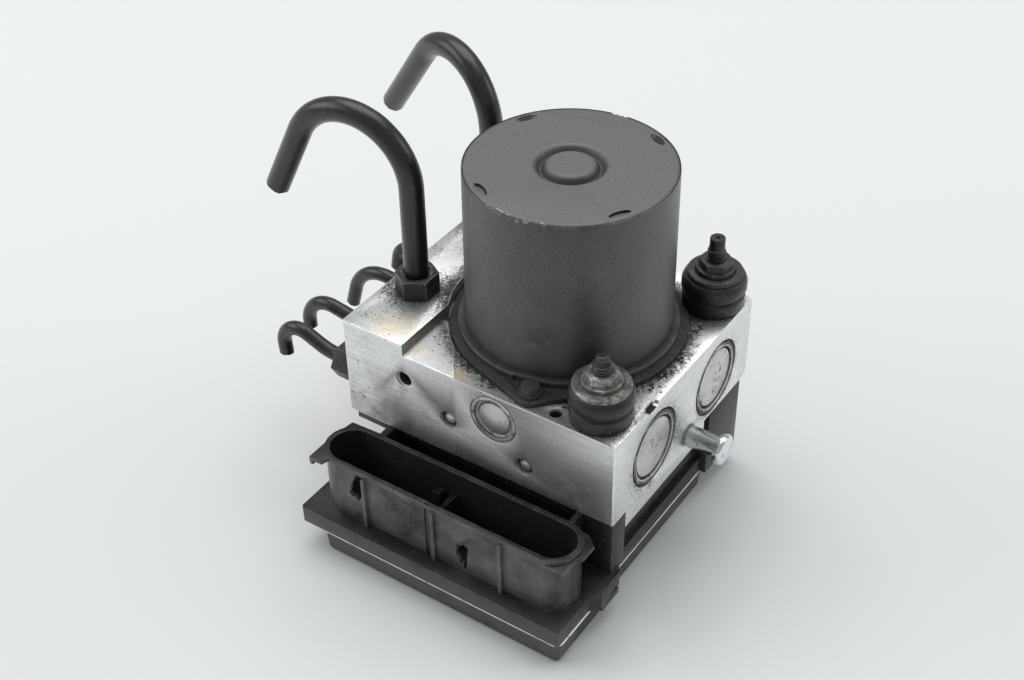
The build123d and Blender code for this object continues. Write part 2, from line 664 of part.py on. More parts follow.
# ---------------------------------------------------------------- accumulators
for acc_y, word in zip(ACC_Y, ("front", "rear")):
    face = right_face(acc_y, ACC_Z)
    with BuildPart() as accumulator_cap:
        with BuildSketch(section(face)):
            with BuildLine():
                Polyline((0, -0.5), (9.4, -0.5), (9.4, -1.7), (10.4, -1.7), (10.4, -0.1), (11.6, -0.1),
                         (11.9, -1.1), (ACC_CAP_R, -1.1), (ACC_CAP_R, -ACC_CAP_T), (0, -ACC_CAP_T), close=True)
            make_face()
        revolve(axis=Axis(face.origin, face.z_dir))
    pieces["accumulator_cap_" + word] = accumulator_cap.part
    with BuildPart() as accumulator_piston:
        with BuildSketch(face.offset(-ACC_DEPTH)):
            Circle(ACC_BORE_R - 2 * RUN)
        extrude(amount=ACC_PISTON_L)
        with BuildSketch(accumulator_piston.faces().sort_by(Axis.X)[-1]):
            Circle(ACC_BORE_R - ACC_PISTON_WALL)
        extrude(amount=-(ACC_PISTON_L - ACC_PISTON_WALL), mode=Mode.SUBTRACT)
        with BuildSketch(face.offset(-ACC_DEPTH + 3.0)):
            Circle(ACC_BORE_R)
            Circle(ACC_BORE_R - 1.0, mode=Mode.SUBTRACT)
        extrude(amount=2.0, mode=Mode.SUBTRACT)
    pieces["accumulator_piston_" + word] = accumulator_piston.part
    with BuildPart() as accumulator_seal:
        with BuildSketch(face.offset(-ACC_DEPTH + 3.1)):
            Circle(ACC_BORE_R - RUN)
            Circle(ACC_BORE_R - 1.0, mode=Mode.SUBTRACT)
        extrude(amount=1.8)
    pieces["accumulator_seal_" + word] = accumulator_seal.part
    pieces["accumulator_spring_" + word] = coil_spring(
        face.offset(-ACC_DEPTH + ACC_PISTON_WALL), ACC_DEPTH - ACC_PISTON_WALL - ACC_CAP_T,
        ACC_SPRING_R, ACC_WIRE_R, ACC_TURNS)

# ---------------------------------------------------------------- headed pin
with BuildPart(right_face(PIN_Y, PIN_Z)) as headed_pin:
    with Locations((0, 0, -PIN_IN)):
        Cylinder(PIN_R, PIN_IN + PIN_OUT - PIN_HEAD_T, align=(Align.CENTER, Align.CENTER, Align.MIN))
    with Locations((0, 0, PIN_OUT - PIN_HEAD_T)):
        Cylinder(PIN_HEAD_R, PIN_HEAD_T, align=(Align.CENTER, Align.CENTER, Align.MIN))
    chamfer(headed_pin.faces().sort_by(Axis.X)[-1].edges(), 0.6)
pieces["headed_pin"] = headed_pin.part

# ---------------------------------------------------------------- bushes, studs and nuts
STUDS = [(bush_x, bush_y) for bush_x, bush_y, bush_r, stud_out in BUSH_SPOTS.values()]
GROOVE_TOP = BUSH_LOWER_H + BUSH_GROOVE_H
NUT_Z = DECK + BUSH_H + WASHER_T

with BuildPart() as bush_sleeves:
    with BuildSketch(Plane.XY.offset(DECK)):
        with Locations(*STUDS):
            Circle(SLEEVE_R)
            Circle(STUD_R + CLEAR, mode=Mode.SUBTRACT)
    extrude(amount=BUSH_H)
pieces["bush_sleeves"] = bush_sleeves.part

with BuildPart() as stud_washers:
    with BuildSketch(Plane.XY.offset(DECK + BUSH_H)):
        with Locations(*STUDS):
            Circle(WASHER_R)
            Circle(STUD_R + CLEAR, mode=Mode.SUBTRACT)
    extrude(amount=WASHER_T)
    washer_rims = stud_washers.edges().filter_by(GeomType.CIRCLE).filter_by(lambda e: e.radius > WASHER_R - 0.1)
    chamfer(washer_rims.group_by(Axis.Z)[-1], 0.3)
pieces["stud_washers"] = stud_washers.part

with BuildPart() as stud_nuts:
    with BuildSketch(Plane.XY.offset(NUT_Z)):
        with Locations(*STUDS):
            RegularPolygon(STUD_NUT_AF / 2, 6, major_radius=False, rotation=26)
    extrude(amount=STUD_NUT_H)
    with Locations(*[(x, y, NUT_Z) for x, y in STUDS]):
        Cone(STUD_NUT_AF / 2 + 2 * STUD_NUT_H, STUD_NUT_AF / 2, STUD_NUT_H, mode=Mode.INTERSECT,
             align=(Align.CENTER, Align.CENTER, Align.MIN))
        Cylinder(STUD_NUT_FLANGE_R, STUD_NUT_FLANGE_T, align=(Align.CENTER, Align.CENTER, Align.MIN))
        Cylinder(STUD_R + RUN, 4 * STUD_NUT_H, mode=Mode.SUBTRACT)
pieces["stud_nuts"] = stud_nuts.part

for word, (bush_x, bush_y, bush_r, stud_out) in BUSH_SPOTS.items():
    with BuildPart() as rubber_bush:
        with BuildSketch(Plane(origin=(bush_x, bush_y, DECK), x_dir=(1, 0, 0), z_dir=(0, -1, 0))):
            with BuildLine():
                Polyline((SLEEVE_R, 0), (bush_r - 1.2, 0), (bush_r - 0.5, 0.8), (bush_r - 0.4, BUSH_LOWER_H - 0.6),
                         (bush_r - 0.9, BUSH_LOWER_H), (bush_r - BUSH_GROOVE_D, BUSH_LOWER_H),
                         (bush_r - BUSH_GROOVE_D, GROOVE_TOP), (bush_r - 0.4, GROOVE_TOP), (bush_r, GROOVE_TOP + 0.8),
                         (bush_r, BUSH_H - 1.8), (bush_r - 0.5, BUSH_H - 0.5), (bush_r - 1.1, BUSH_H),
                         (SLEEVE_R, BUSH_H), close=True)
            make_face()
        revolve(axis=Axis((bush_x, bush_y, DECK), (0, 0, 1)))
    pieces["rubber_bush_" + word] = rubber_bush.part
    with BuildPart() as mounting_stud:
        with Locations((bush_x, bush_y, DECK - STUD_IN)):
            Cylinder(STUD_R, STUD_IN + stud_out - STUD_DOG_L, align=(Align.CENTER, Align.CENTER, Align.MIN))
        chamfer(mounting_stud.faces().sort_by(Axis.Z)[-1].edges(), 0.5)
        with Locations((bush_x, bush_y, DECK + stud_out - STUD_DOG_L)):
            Cylinder(STUD_DOG_R, STUD_DOG_L, align=(Align.CENTER, Align.CENTER, Align.MIN))
        chamfer(mounting_stud.faces().sort_by(Axis.Z)[-1].edges(), 0.5)
        with Locations((bush_x, bush_y, DECK + stud_out)):
            Hole(0.9, 1.2)
    pieces["mounting_stud_" + word] = mounting_stud.part

# ---------------------------------------------------------------- brake pipes and their nuts


def pipe(plane, route, tube_r, bore_r):
    """Tube along straight runs (a length) and arcs (a radius and a turn) drawn on plane,
    starting along its local Y. Its far end is cut off open."""
    with BuildPart() as tube:
        with BuildLine(plane) as path:
            leg = Line((0, 0), (0, route[0]))
            for step in route[1:]:
                if isinstance(step, tuple):
                    leg = JernArc(leg @ 1, leg % 1, step[0], step[1])
                else:
                    leg = PolarLine(leg @ 1, step, direction=leg % 1)
        with BuildSketch(Plane(origin=path.line @ 0, z_dir=path.line % 0)):
            Circle(tube_r)
        sweep(path=path.line)
        with Locations(Plane(origin=path.line @ 1, z_dir=path.line % 1)):
            Hole(bore_r, CUT_BORE)
    return tube.part


# inlet pipes: port Y, bearing of the bend, then run, bend and run above the nut
INLETS = {"front": (-16.8, 184.0, 29.6, (20.5, -154.0), 25.6),
          "rear": (24.4, 160.0, 28.4, (20.0, -142.0), 35.8)}
for word, (port_y, bearing, *route) in INLETS.items():
    lean = math.radians(bearing)
    route[0] += INLET_SEAT + INLET_NUT_H
    stand = Plane(origin=(INLET_X, port_y, PAD - INLET_SEAT), x_dir=(math.cos(lean), math.sin(lean), 0),
                  z_dir=(math.sin(lean), -math.cos(lean), 0))
    pieces["inlet_pipe_" + word] = pipe(stand, route, INLET_TUBE_R, INLET_BORE_R)
    with BuildPart() as inlet_nut:
        with BuildSketch(Plane.XY.offset(PAD)):
            with Locations((INLET_X, port_y)):
                RegularPolygon(INLET_NUT_AF / 2, 6, major_radius=False, rotation=30)
        extrude(amount=INLET_NUT_H)
        with Locations((INLET_X, port_y, PAD)):
            Cone(INLET_NUT_AF / 2 + 2 * INLET_NUT_H, INLET_NUT_AF / 2, INLET_NUT_H, mode=Mode.INTERSECT,
                 align=(Align.CENTER, Align.CENTER, Align.MIN))
            Cylinder(INLET_PORT_R - RUN, INLET_SEAT - 1.0, align=(Align.CENTER, Align.CENTER, Align.MAX))
        with Locations((INLET_X, port_y, PAD + INLET_NUT_H)):
            CounterBoreHole(INLET_TUBE_R + RUN, INLET_TUBE_R + 0.8, 0.9, INLET_NUT_H + INLET_PORT_DEPTH)
    pieces["inlet_nut_" + word] = inlet_nut.part

# outlet pipes leave along -X and bend in an upright plane, a little up and then down
OUTLET_ROUTES = ((2.6, (17.2, 22.0), 5.4, (7.5, -116.0), 4.5),
                 (5.0, (19.0, 10.0), 8.8, (9.8, -101.0), 2.8),
                 (0.6, (11.4, 12.6), 7.7, (13.2, -87.0), 8.0),
                 (1.2, (17.3, 16.0), 7.1, (5.6, -96.0), 5.4))
for number, (port_y, steps) in enumerate(zip(OUTLET_Y, OUTLET_ROUTES), 1):
    route = [steps[0] + OUTLET_SEAT + OUTLET_NUT_H, *steps[1:]]
    stand = Plane(origin=(BLOCK_X0 + OUTLET_SEAT, port_y, OUTLET_Z), x_dir=(0, 0, -1), z_dir=(0, 1, 0))
    pieces["outlet_pipe_%d" % number] = pipe(stand, route, OUTLET_TUBE_R, OUTLET_BORE_R)

with BuildPart() as outlet_nuts:
    for port_y in OUTLET_Y:
        face = left_face(port_y, OUTLET_Z)
        with BuildSketch(face):
            RegularPolygon(OUTLET_NUT_AF / 2, 6, major_radius=False)
        extrude(amount=OUTLET_NUT_H)
        with BuildSketch(face):
            Circle(OUTLET_PORT_R - RUN)
        extrude(amount=-(OUTLET_SEAT - 1.0))
        with Locations(face):
            Hole(OUTLET_TUBE_R + RUN, OUTLET_NUT_H + 1.0)
pieces["outlet_nuts"] = outlet_nuts.part

# ---------------------------------------------------------------- valves and coils
with BuildPart() as valve_cartridges:
    for valve_x, valve_y in VALVES:
        with Locations((valve_x, valve_y, BOSS_Z)):
            Cylinder(VALVE_R, VALVE_IN - 0.5, align=(Align.CENTER, Align.CENTER, Align.MIN))
            Cylinder(DOME_R, DOME_H, align=(Align.CENTER, Align.CENTER, Align.MAX))
    dome_tips = valve_cartridges.faces().group_by(Axis.Z)[0].edges()
    chamfer(dome_tips, 0.8)
pieces["valve_cartridges"] = valve_cartridges.part

with BuildPart() as solenoid_coils:
    with BuildSketch(Plane.XY.offset(FLANGE_TOP)):
        with Locations(*VALVES):
            Circle(COIL_R)
            Circle(DOME_R + CLEAR, mode=Mode.SUBTRACT)
    extrude(amount=COIL_H)
pieces["solenoid_coils"] = solenoid_coils.part

# ---------------------------------------------------------------- cover, carrier frame and board


def tray_outline():
    """Outline shared by the cover, the carrier frame and the board cavity."""
    with BuildSketch() as outline:
        with BuildLine():
            Polyline((COVER_X0, COVER_Y0), (COVER_X1, COVER_Y0), (COVER_X1, LUG_Y1), (COVER_SIDE_X, LUG_Y1 + 4.0),
                     (COVER_SIDE_X, COVER_Y1), (COVER_X0, COVER_Y1), close=True)
        make_face()
        with Locations((COVER_SIDE_X, COVER_Y1), (COVER_X0, COVER_Y1)):
            Rectangle(2 * COVER_CUT, 2 * COVER_CUT, mode=Mode.SUBTRACT)
        fillet(outline.vertices(), COVER_EDGE_R)
    return outline.sketch


TRAY = tray_outline()
with BuildSketch() as tray_window:
    add(TRAY)
    offset(amount=-COVER_WALL, kind=Kind.INTERSECTION)
TRAY_WINDOW = tray_window.sketch

with BuildPart() as ecu_cover:
    with BuildSketch(Plane.XY.offset(COVER_H)):
        add(TRAY)
    extrude(amount=-COVER_H, taper=5)
    fillet(ecu_cover.faces().sort_by(Axis.Z)[0].edges(), COVER_FOOT_R)
    with BuildSketch(Plane.XY.offset(COVER_H)) as tray_inside:
        add(TRAY)
        offset(amount=-COVER_WALL, kind=Kind.INTERSECTION)
    extrude(amount=-(COVER_H - COVER_WALL), taper=5, mode=Mode.SUBTRACT)
    with BuildSketch(Plane.XY.offset(COVER_WALL)):
        with Locations(*BOARD_POSTS):
            Circle(2.6)
    extrude(amount=BOARD_Z - COVER_WALL)
pieces["ecu_cover"] = ecu_cover.part

with BuildPart() as carrier_frame:
    with BuildSketch(Plane.XY.offset(COVER_H)):
        add(TRAY)
        offset(amount=FRAME_PROUD, kind=Kind.INTERSECTION)
        add(TRAY_WINDOW, mode=Mode.SUBTRACT)
    extrude(amount=FRAME_T)
pieces["carrier_frame"] = carrier_frame.part

with BuildPart() as circuit_board:
    with BuildSketch(Plane.XY.offset(BOARD_Z)):
        add(TRAY)
        offset(amount=-COVER_WALL - 1.2, kind=Kind.INTERSECTION)
    extrude(amount=BOARD_T)
    with BuildSketch(Plane.XY.offset(BOARD_TOP)):
        with Locations((-20, -30), (10, -26), (3, 16)):
            Rectangle(16, 16)
    extrude(amount=1.6)
pieces["circuit_board"] = circuit_board.part

# ---------------------------------------------------------------- control unit housing
with BuildPart() as ecu_housing:
    # flange, with the lug that laps over the seam on its right edge
    with BuildSketch(Plane.XY.offset(FLANGE_Z)):
        with BuildLine():
            Polyline((FLANGE_X0, FLANGE_Y0), (FLANGE_X1, FLANGE_Y0), (FLANGE_X1, LUG_Y0 - 3.0), (LUG_X, LUG_Y0),
                     (LUG_X - 0.7, LUG_Y1), (FLANGE_SIDE_X, LUG_Y1 + 5.0), (FLANGE_SIDE_X, FLANGE_Y1),
                     (FLANGE_X0, FLANGE_Y1), close=True)
        make_face()
    extrude(amount=FLANGE_T)
    fillet(ecu_housing.edges().filter_by(Axis.Z).group_by(Axis.X)[0], 1.2)
    with BuildSketch(Plane.XY.offset(FLANGE_Z)):
        with Locations(((LUG_X + COVER_X1) / 2 + 0.2, (LUG_Y0 + LUG_Y1) / 2)):
            Rectangle(LUG_X - COVER_X1 - 0.9, LUG_Y1 - LUG_Y0 - 2.0)
    extrude(amount=-LUG_DROP)
    # coil chamber with its lip under the block
    with BuildSketch(Plane.XY.offset(FLANGE_TOP)):
        with Locations(((CHAMBER_X0 + CHAMBER_X1) / 2, (CHAMBER_Y0 + CHAMBER_Y1) / 2)):
            RectangleRounded(CHAMBER_X1 - CHAMBER_X0, CHAMBER_Y1 - CHAMBER_Y0, 3.0)
    extrude(amount=LEG_H)
    with BuildSketch(Plane.XY.offset(BLOCK_Z)):
        with BuildLine():
            Polyline((LIP_X0, BLOCK_Y0 + 1.0), (CHAMBER_X1, BLOCK_Y0 + 1.0), (CHAMBER_X1, CHAMBER_Y1),
                     (LIP_X0, CHAMBER_Y1), close=True)
        make_face()
    extrude(amount=-LIP_T)
    # corner legs on the right, flush with the block's side
    with BuildSketch(Plane.XY.offset(FLANGE_TOP)):
        with Locations(((LEG_X0 + BLOCK_X1) / 2, BLOCK_Y0 + LEG_Y / 2)):
            Rectangle(BLOCK_X1 - LEG_X0, LEG_Y)
    extrude(amount=LEG_H)
    # rear post, flush with the block's side, rounded at its outer corner and standing on a lower foot
    with BuildSketch(Plane.XY.offset(FLANGE_Z)) as post:
        with Locations(((LEG_X0 + BLOCK_X1) / 2, (POST_Y0 + POST_Y1) / 2)):
            Rectangle(BLOCK_X1 - LEG_X0, POST_Y1 - POST_Y0)
        fillet(post.vertices().sort_by(Axis.Y)[-2:].sort_by(Axis.X)[-1], POST_R)
    extrude(amount=FLANGE_T + LEG_H)
    with BuildSketch(Plane.XY.offset(FLANGE_Z)) as foot:
        with Locations(((LEG_X0 + BLOCK_X1) / 2, POST_Y1 - POST_FOOT / 2)):
            Rectangle(BLOCK_X1 - LEG_X0, POST_FOOT)
        fillet(foot.vertices().sort_by(Axis.Y)[-2:].sort_by(Axis.X)[-1], POST_R)
    extrude(amount=-LEG_DROP)
    # connector shroud: a stadium tube with a lip round its rim
    with BuildSketch(Plane.XY.offset(FLANGE_TOP)):
        with Locations(SHROUD_MID):
            SlotCenterToCenter(SHROUD_X1 - SHROUD_X0, 2 * SHROUD_R)
    extrude(amount=SHROUD_H)
    with BuildSketch(Plane.XY.offset(RIM_Z - SHROUD_LIP_H)):
        with Locations(SHROUD_MID):
            SlotCenterToCenter(SHROUD_X1 - SHROUD_X0, 2 * (SHROUD_R + SHROUD_LIP))
    extrude(amount=SHROUD_LIP_H)
    # guide plates beside the rim: the left one ends in a tip turned down, the right one is square in front
    with BuildSketch(Plane(origin=(SHROUD_X0, SHROUD_Y, RIM_Z - GUIDE_LEFT_DROP))):
        with BuildLine():
            Polyline((4.9, SHROUD_R + 1.1), (-SHROUD_R + 1.3, SHROUD_R + 0.5), (-SHROUD_R, 0.5),
                     (-SHROUD_R, -SHROUD_R - 2.5), (-SHROUD_R + 4.6, -SHROUD_R - 2.5), (-SHROUD_R + 6.6, -SHROUD_R + 3.7),
                     (4.9, SHROUD_R - 2.7), close=True)
        make_face()
    extrude(amount=-GUIDE_T)
    with BuildSketch(Plane(origin=(SHROUD_X0, SHROUD_Y, RIM_Z - GUIDE_LEFT_DROP))):
        with Locations((-SHROUD_R + 0.6, -SHROUD_R - 0.9)):
            Rectangle(1.2, 3.2)
    extrude(amount=-GUIDE_T - GUIDE_TAB)
    with BuildSketch(Plane(origin=(SHROUD_X1, SHROUD_Y, RIM_Z - SHROUD_LIP_H))):
        with BuildLine():
            Polyline((RIB_X[2] - SHROUD_X1, -SHROUD_R - 0.2), (SHROUD_R + 0.4, -SHROUD_R - 0.2), (SHROUD_R + 0.4, -2.0),
                     (SHROUD_R + 2.1, -0.5), (SHROUD_R + 2.1, SHROUD_R - 2.9), (SHROUD_R - 1.6, SHROUD_R + 0.1),
                     (-SHROUD_R + 1.6, SHROUD_R + 0.1), (-SHROUD_R + 1.6, 0), (RIB_X[2] - SHROUD_X1, 0), close=True)
        make_face()
    extrude(amount=-GUIDE_T)
    # gussets from the chamber's wall to the shroud
    with BuildSketch(Plane.XY.offset(FLANGE_TOP)):
        with Locations((SHROUD_X0 + 4.4, (CHAMBER_Y0 + SHROUD_Y + SHROUD_R) / 2), (SHROUD_X1 - 0.2, (CHAMBER_Y0 + SHROUD_Y + SHROUD_R) / 2)):
            Rectangle(1.6, CHAMBER_Y0 - SHROUD_Y - SHROUD_R + 1.0)
    extrude(amount=SHROUD_H - GUIDE_T)
    # the shroud's hollow
    with BuildSketch(Plane.XY.offset(FLANGE_TOP + SHROUD_FLOOR)):
        with Locations(SHROUD_MID):
            SlotCenterToCenter(SHROUD_X1 - SHROUD_X0, 2 * (SHROUD_R - SHROUD_WALL))
    extrude(amount=SHROUD_H, mode=Mode.SUBTRACT)
    # key on the back wall and the partition between the two plugs
    with BuildSketch(Plane.XY.offset(FLANGE_TOP + SHROUD_FLOOR)):
        with Locations((-15.0, SHROUD_Y + SHROUD_R - SHROUD_WALL - 1.0)):
            Rectangle(2.4, 2.6)
        with Locations((PARTITION_X, SHROUD_Y)):
            Rectangle(1.4, 2 * (SHROUD_R - SHROUD_WALL) + 0.4)
    extrude(amount=SHROUD_H - SHROUD_FLOOR - PARTITION_DROP)
    # ribs and the moulded groove on the shroud's front wall
    with BuildSketch(Plane.XY.offset(FLANGE_TOP)):
        with Locations((RIB_X[0], SHROUD_FRONT - 0.6), (RIB_X[1], SHROUD_FRONT - 0.3), (RIB_X[2], SHROUD_FRONT - 0.6)):
            Rectangle(1.1, 1.8)
    extrude(amount=SHROUD_H - SHROUD_LIP_H)
    with BuildSketch(Plane.XZ.offset(-SHROUD_FRONT)):
        with Locations((-8.9, RIM_Z - 11.5)):
            SlotOverall(24.0, 1.5, rotation=90)
    extrude(amount=-0.5, mode=Mode.SUBTRACT)
    # broken-out places of the front wall
    with BuildSketch(Plane.XZ.offset(-SHROUD_FRONT + 4.0)):
        with BuildLine():
            Polyline((-35.0, RIM_Z - 1.9), (-32.2, RIM_Z - 1.7), (-32.2, RIM_Z - 11.4), (-33.0, RIM_Z - 12.2),
                     (-33.7, RIM_Z - 10.9), (-34.9, RIM_Z - 12.8), (-35.9, RIM_Z - 11.2), (-36.9, RIM_Z - 12.0),
                     (-38.2, RIM_Z - 10.6), (-37.3, RIM_Z - 9.3), (-37.2, RIM_Z - 7.0), (-36.2, RIM_Z - 5.2), close=True)
        make_face()
        with BuildLine():
            Polyline((1.6, RIM_Z - 12.4), (3.6, RIM_Z - 10.6), (5.8, RIM_Z - 11.0), (5.4, RIM_Z - 15.4),
                     (5.0, RIM_Z - 19.4), (4.1, RIM_Z - 19.8), (3.7, RIM_Z - 16.8), (2.9, RIM_Z - 18.6),
                     (2.3, RIM_Z - 15.9), (1.4, RIM_Z - 14.8), close=True)
        make_face()
    extrude(amount=-7.0, mode=Mode.SUBTRACT)
    # sloping dent above the second broken place
    with Locations(Location((5.4, SHROUD_FRONT - SHROUD_DENT_R + 0.7, RIM_Z - 9.2), (0, 42, 0))):
        Cylinder(SHROUD_DENT_R, 8.5, mode=Mode.SUBTRACT)
    # chamber hollow, from the floor up
    with BuildSketch(Plane.XY.offset(FLANGE_TOP)):
        with Locations(((CHAMBER_X0 + CHAMBER_X1) / 2, (CHAMBER_Y0 + CHAMBER_Y1) / 2)):
            Rectangle(CHAMBER_X1 - CHAMBER_X0 - 2 * CHAMBER_WALL, CHAMBER_Y1 - CHAMBER_Y0 - 2 * CHAMBER_WALL)
    extrude(amount=LEG_H, mode=Mode.SUBTRACT)
    # opening in the right wall's top for the block's lower land
    with BuildSketch(Plane.XY.offset(BOSS_Z - CLEAR)):
        with Locations((BLOCK_X1, (BOSS_Y0 + BOSS_Y1) / 2)):
            Rectangle(2 * (BLOCK_X1 - CHAMBER_X1 + CHAMBER_WALL + 1.0), BOSS_Y1 - BOSS_Y0 + 2 * CLEAR)
    extrude(amount=BOSS_DROP + CLEAR, mode=Mode.SUBTRACT)
    # screw columns
    with BuildSketch(Plane.XY.offset(FLANGE_TOP - 1.0)):
        with Locations(*REAR_SCREWS):
            Circle(COLUMN_R)
    extrude(amount=LEG_H + 1.0)
    with BuildSketch(Plane.XY.offset(FLANGE_TOP - 1.0)):
        with Locations(*BOSS_SCREWS):
            Circle(COLUMN_R)
    extrude(amount=BOSS_Z - FLANGE_TOP + 1.0)
    # board cavity below the floor
    with BuildSketch(Plane.XY.offset(FLANGE_Z)):
        add(TRAY_WINDOW)
    extrude(amount=FLANGE_T - FLANGE_FLOOR, mode=Mode.SUBTRACT)
    # screw holes, terminal holes and the motor leads' holes
    with Locations(*[(x, y, FLANGE_TOP - FLANGE_FLOOR) for x, y in BOSS_SCREWS + REAR_SCREWS]):
        Cylinder(SCREW_R + CLEAR, 3 * LEG_H, align=(Align.CENTER, Align.CENTER, Align.CENTER), mode=Mode.SUBTRACT)
    with Locations(*[(x, y, FLANGE_TOP - FLANGE_FLOOR) for x, y in REAR_SCREWS]):
        Cylinder(SCREW_HEAD_R + 0.3, 2 * FLANGE_T, align=(Align.CENTER, Align.CENTER, Align.MAX), mode=Mode.SUBTRACT)
    with Locations(*[(x, y, FLANGE_TOP) for x, y in LEADS]):
        Cylinder(LEAD_R + CLEAR, 3 * FLANGE_T, mode=Mode.SUBTRACT)
    with BuildSketch(Plane.XY.offset(FLANGE_Z)):
        with Locations(*TERMINALS):
            Rectangle(TERMINAL_W + 2 * RUN, TERMINAL_W + 2 * RUN)
        with Locations(*BLADES):
            Rectangle(BLADE_W + 2 * RUN, TERMINAL_W + 2 * RUN)
    extrude(amount=FLANGE_T + SHROUD_FLOOR, mode=Mode.SUBTRACT)
pieces["ecu_housing"] = ecu_housing.part

with BuildPart() as connector_pins:
    with BuildSketch(Plane.XY.offset(BOARD_TOP)):
        with Locations(*TERMINALS):
            Rectangle(TERMINAL_W, TERMINAL_W)
        with Locations(*BLADES):
            Rectangle(BLADE_W, TERMINAL_W)
    extrude(amount=FLANGE_TOP + PIN_TOP - BOARD_TOP)
pieces["connector_pins"] = connector_pins.part

with BuildPart() as housing_screws:
    for spots, foot in ((BOSS_SCREWS, BOSS_Z), (REAR_SCREWS, BLOCK_Z)):
        with Locations(*[(x, y, FLANGE_TOP - FLANGE_FLOOR) for x, y in spots]):
            Cylinder(SCREW_HEAD_R, SCREW_HEAD_H, align=(Align.CENTER, Align.CENTER, Align.MAX))
            Cylinder(SCREW_R, foot - FLANGE_TOP + FLANGE_FLOOR + SCREW_IN - 1.0,
                     align=(Align.CENTER, Align.CENTER, Align.MIN))
pieces["housing_screws"] = housing_screws.part

# ---------------------------------------------------------------- files
os.makedirs("parts", exist_ok=True)
for name, piece in pieces.items():
    piece.label = name
    export_step(piece, "parts/" + name + ".step")
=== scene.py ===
import bpy
import bmesh
import json
import math
import random
from mathutils import Matrix, Vector


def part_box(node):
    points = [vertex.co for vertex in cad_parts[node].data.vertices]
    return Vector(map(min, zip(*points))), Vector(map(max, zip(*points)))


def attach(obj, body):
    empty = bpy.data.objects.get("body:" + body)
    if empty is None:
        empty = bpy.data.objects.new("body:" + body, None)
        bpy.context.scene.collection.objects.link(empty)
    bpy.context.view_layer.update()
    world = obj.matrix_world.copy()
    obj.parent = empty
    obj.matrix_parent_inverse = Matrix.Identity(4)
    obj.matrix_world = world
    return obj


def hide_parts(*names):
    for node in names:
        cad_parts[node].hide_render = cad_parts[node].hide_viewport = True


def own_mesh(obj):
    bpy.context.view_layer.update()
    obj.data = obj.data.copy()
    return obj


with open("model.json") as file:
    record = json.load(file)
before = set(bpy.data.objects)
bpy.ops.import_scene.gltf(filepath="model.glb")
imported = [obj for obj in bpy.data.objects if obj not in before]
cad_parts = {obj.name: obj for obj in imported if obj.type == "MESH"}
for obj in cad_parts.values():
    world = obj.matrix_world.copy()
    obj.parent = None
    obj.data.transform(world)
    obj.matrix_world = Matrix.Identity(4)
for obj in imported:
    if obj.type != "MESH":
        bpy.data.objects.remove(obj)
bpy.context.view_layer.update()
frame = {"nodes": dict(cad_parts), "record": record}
nodes = frame["nodes"]
body_of_node = {n: b for b, members in frame["record"]["behaviour"]["bodies"].items() for n in members}
MM = 0.001

# main faces, read from the frame: in metres, and in millimetres for the finishes
HUB_RISE = 4.2 * MM                   # the end plate's bearing hub stands this far above the deck
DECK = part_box("motor_end_plate")[1].z - HUB_RISE
BLOCK_LOW, BLOCK_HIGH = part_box("valve_block")
DECK_MM = DECK / MM
CAN_TOP_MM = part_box("motor_can")[1].z / MM
FRONT_MM = BLOCK_LOW.y / MM
RIGHT_MM = BLOCK_HIGH.x / MM

# places on the block and the connector, in millimetres
BUSHES = ((30.7, -31.8), (31.9, 31.9))
INLETS = ((-44.3, -16.8), (-44.3, 24.4))
BLIND_HOLE = (19.4, -37.6)
FIXING_HOLE = (-32.2, DECK_MM - 8.8)          # along X, and up
CAP_CENTRES = (-17.9, 19.5)                   # along Y
CAP_HEIGHT = DECK_MM - 17.3
PLUG_HEIGHT = DECK_MM - 9.1
CONNECTOR_ENDS = (-42.4, 30.2)                # centres of its round ends, along X
CONNECTOR_Y = -55.5
FAR_CRIMPS = (60.0, 150.0)                    # degrees round the motor can
CRIMP_REACH = 28.9                            # from the motor's axis to a crimp dimple


# ------------------------------------------------------------------ shared effects
def effect(name, output="Mask", **inputs):
    """An empty shader node group that takes a Vector and the named inputs, and gives one output."""
    group = bpy.data.node_groups.new(name, "ShaderNodeTree")
    group.interface.new_socket(name="Vector", in_out="INPUT", socket_type="NodeSocketVector")
    for label, value in inputs.items():
        kind = "NodeSocketVector" if isinstance(value, tuple) else "NodeSocketFloat"
        group.interface.new_socket(name=label, in_out="INPUT", socket_type=kind).default_value = value
    group.interface.new_socket(name=output, in_out="OUTPUT", socket_type="NodeSocketFloat")
    return group, group.nodes.new("NodeGroupInput"), group.nodes.new("NodeGroupOutput")


def node(tree, kind, links=(), **values):
    """Adds a node, sets its sockets or properties, and links (socket, output) pairs into it."""
    made = tree.nodes.new(kind)
    for key, value in values.items():
        if key.startswith("p_"):
            setattr(made, key[2:], value)
    for key, value in values.items():
        if not key.startswith("p_"):
            index = int(key[1:]) if key[1:].isdigit() and key[0] == "i" else key.replace("_", " ")
            made.inputs[index].default_value = value
    for socket, output in links:
        tree.links.new(output, made.inputs[socket])
    return made


def make_patches():
    """Soft irregular patches: stains, dust, bare places."""
    g, a, b = effect("patches", Scale=60.0, Detail=6.0, From=0.45, To=0.6)
    n = node(g, "ShaderNodeTexNoise", [("Vector", a.outputs["Vector"]), ("Scale", a.outputs["Scale"]),
                                       ("Detail", a.outputs["Detail"])], Roughness=0.62)
    m = node(g, "ShaderNodeMapRange", [("Value", n.outputs["Fac"]), ("From Min", a.outputs["From"]),
                                       ("From Max", a.outputs["To"])])
    g.links.new(m.outputs["Result"], b.inputs["Mask"])
    return g


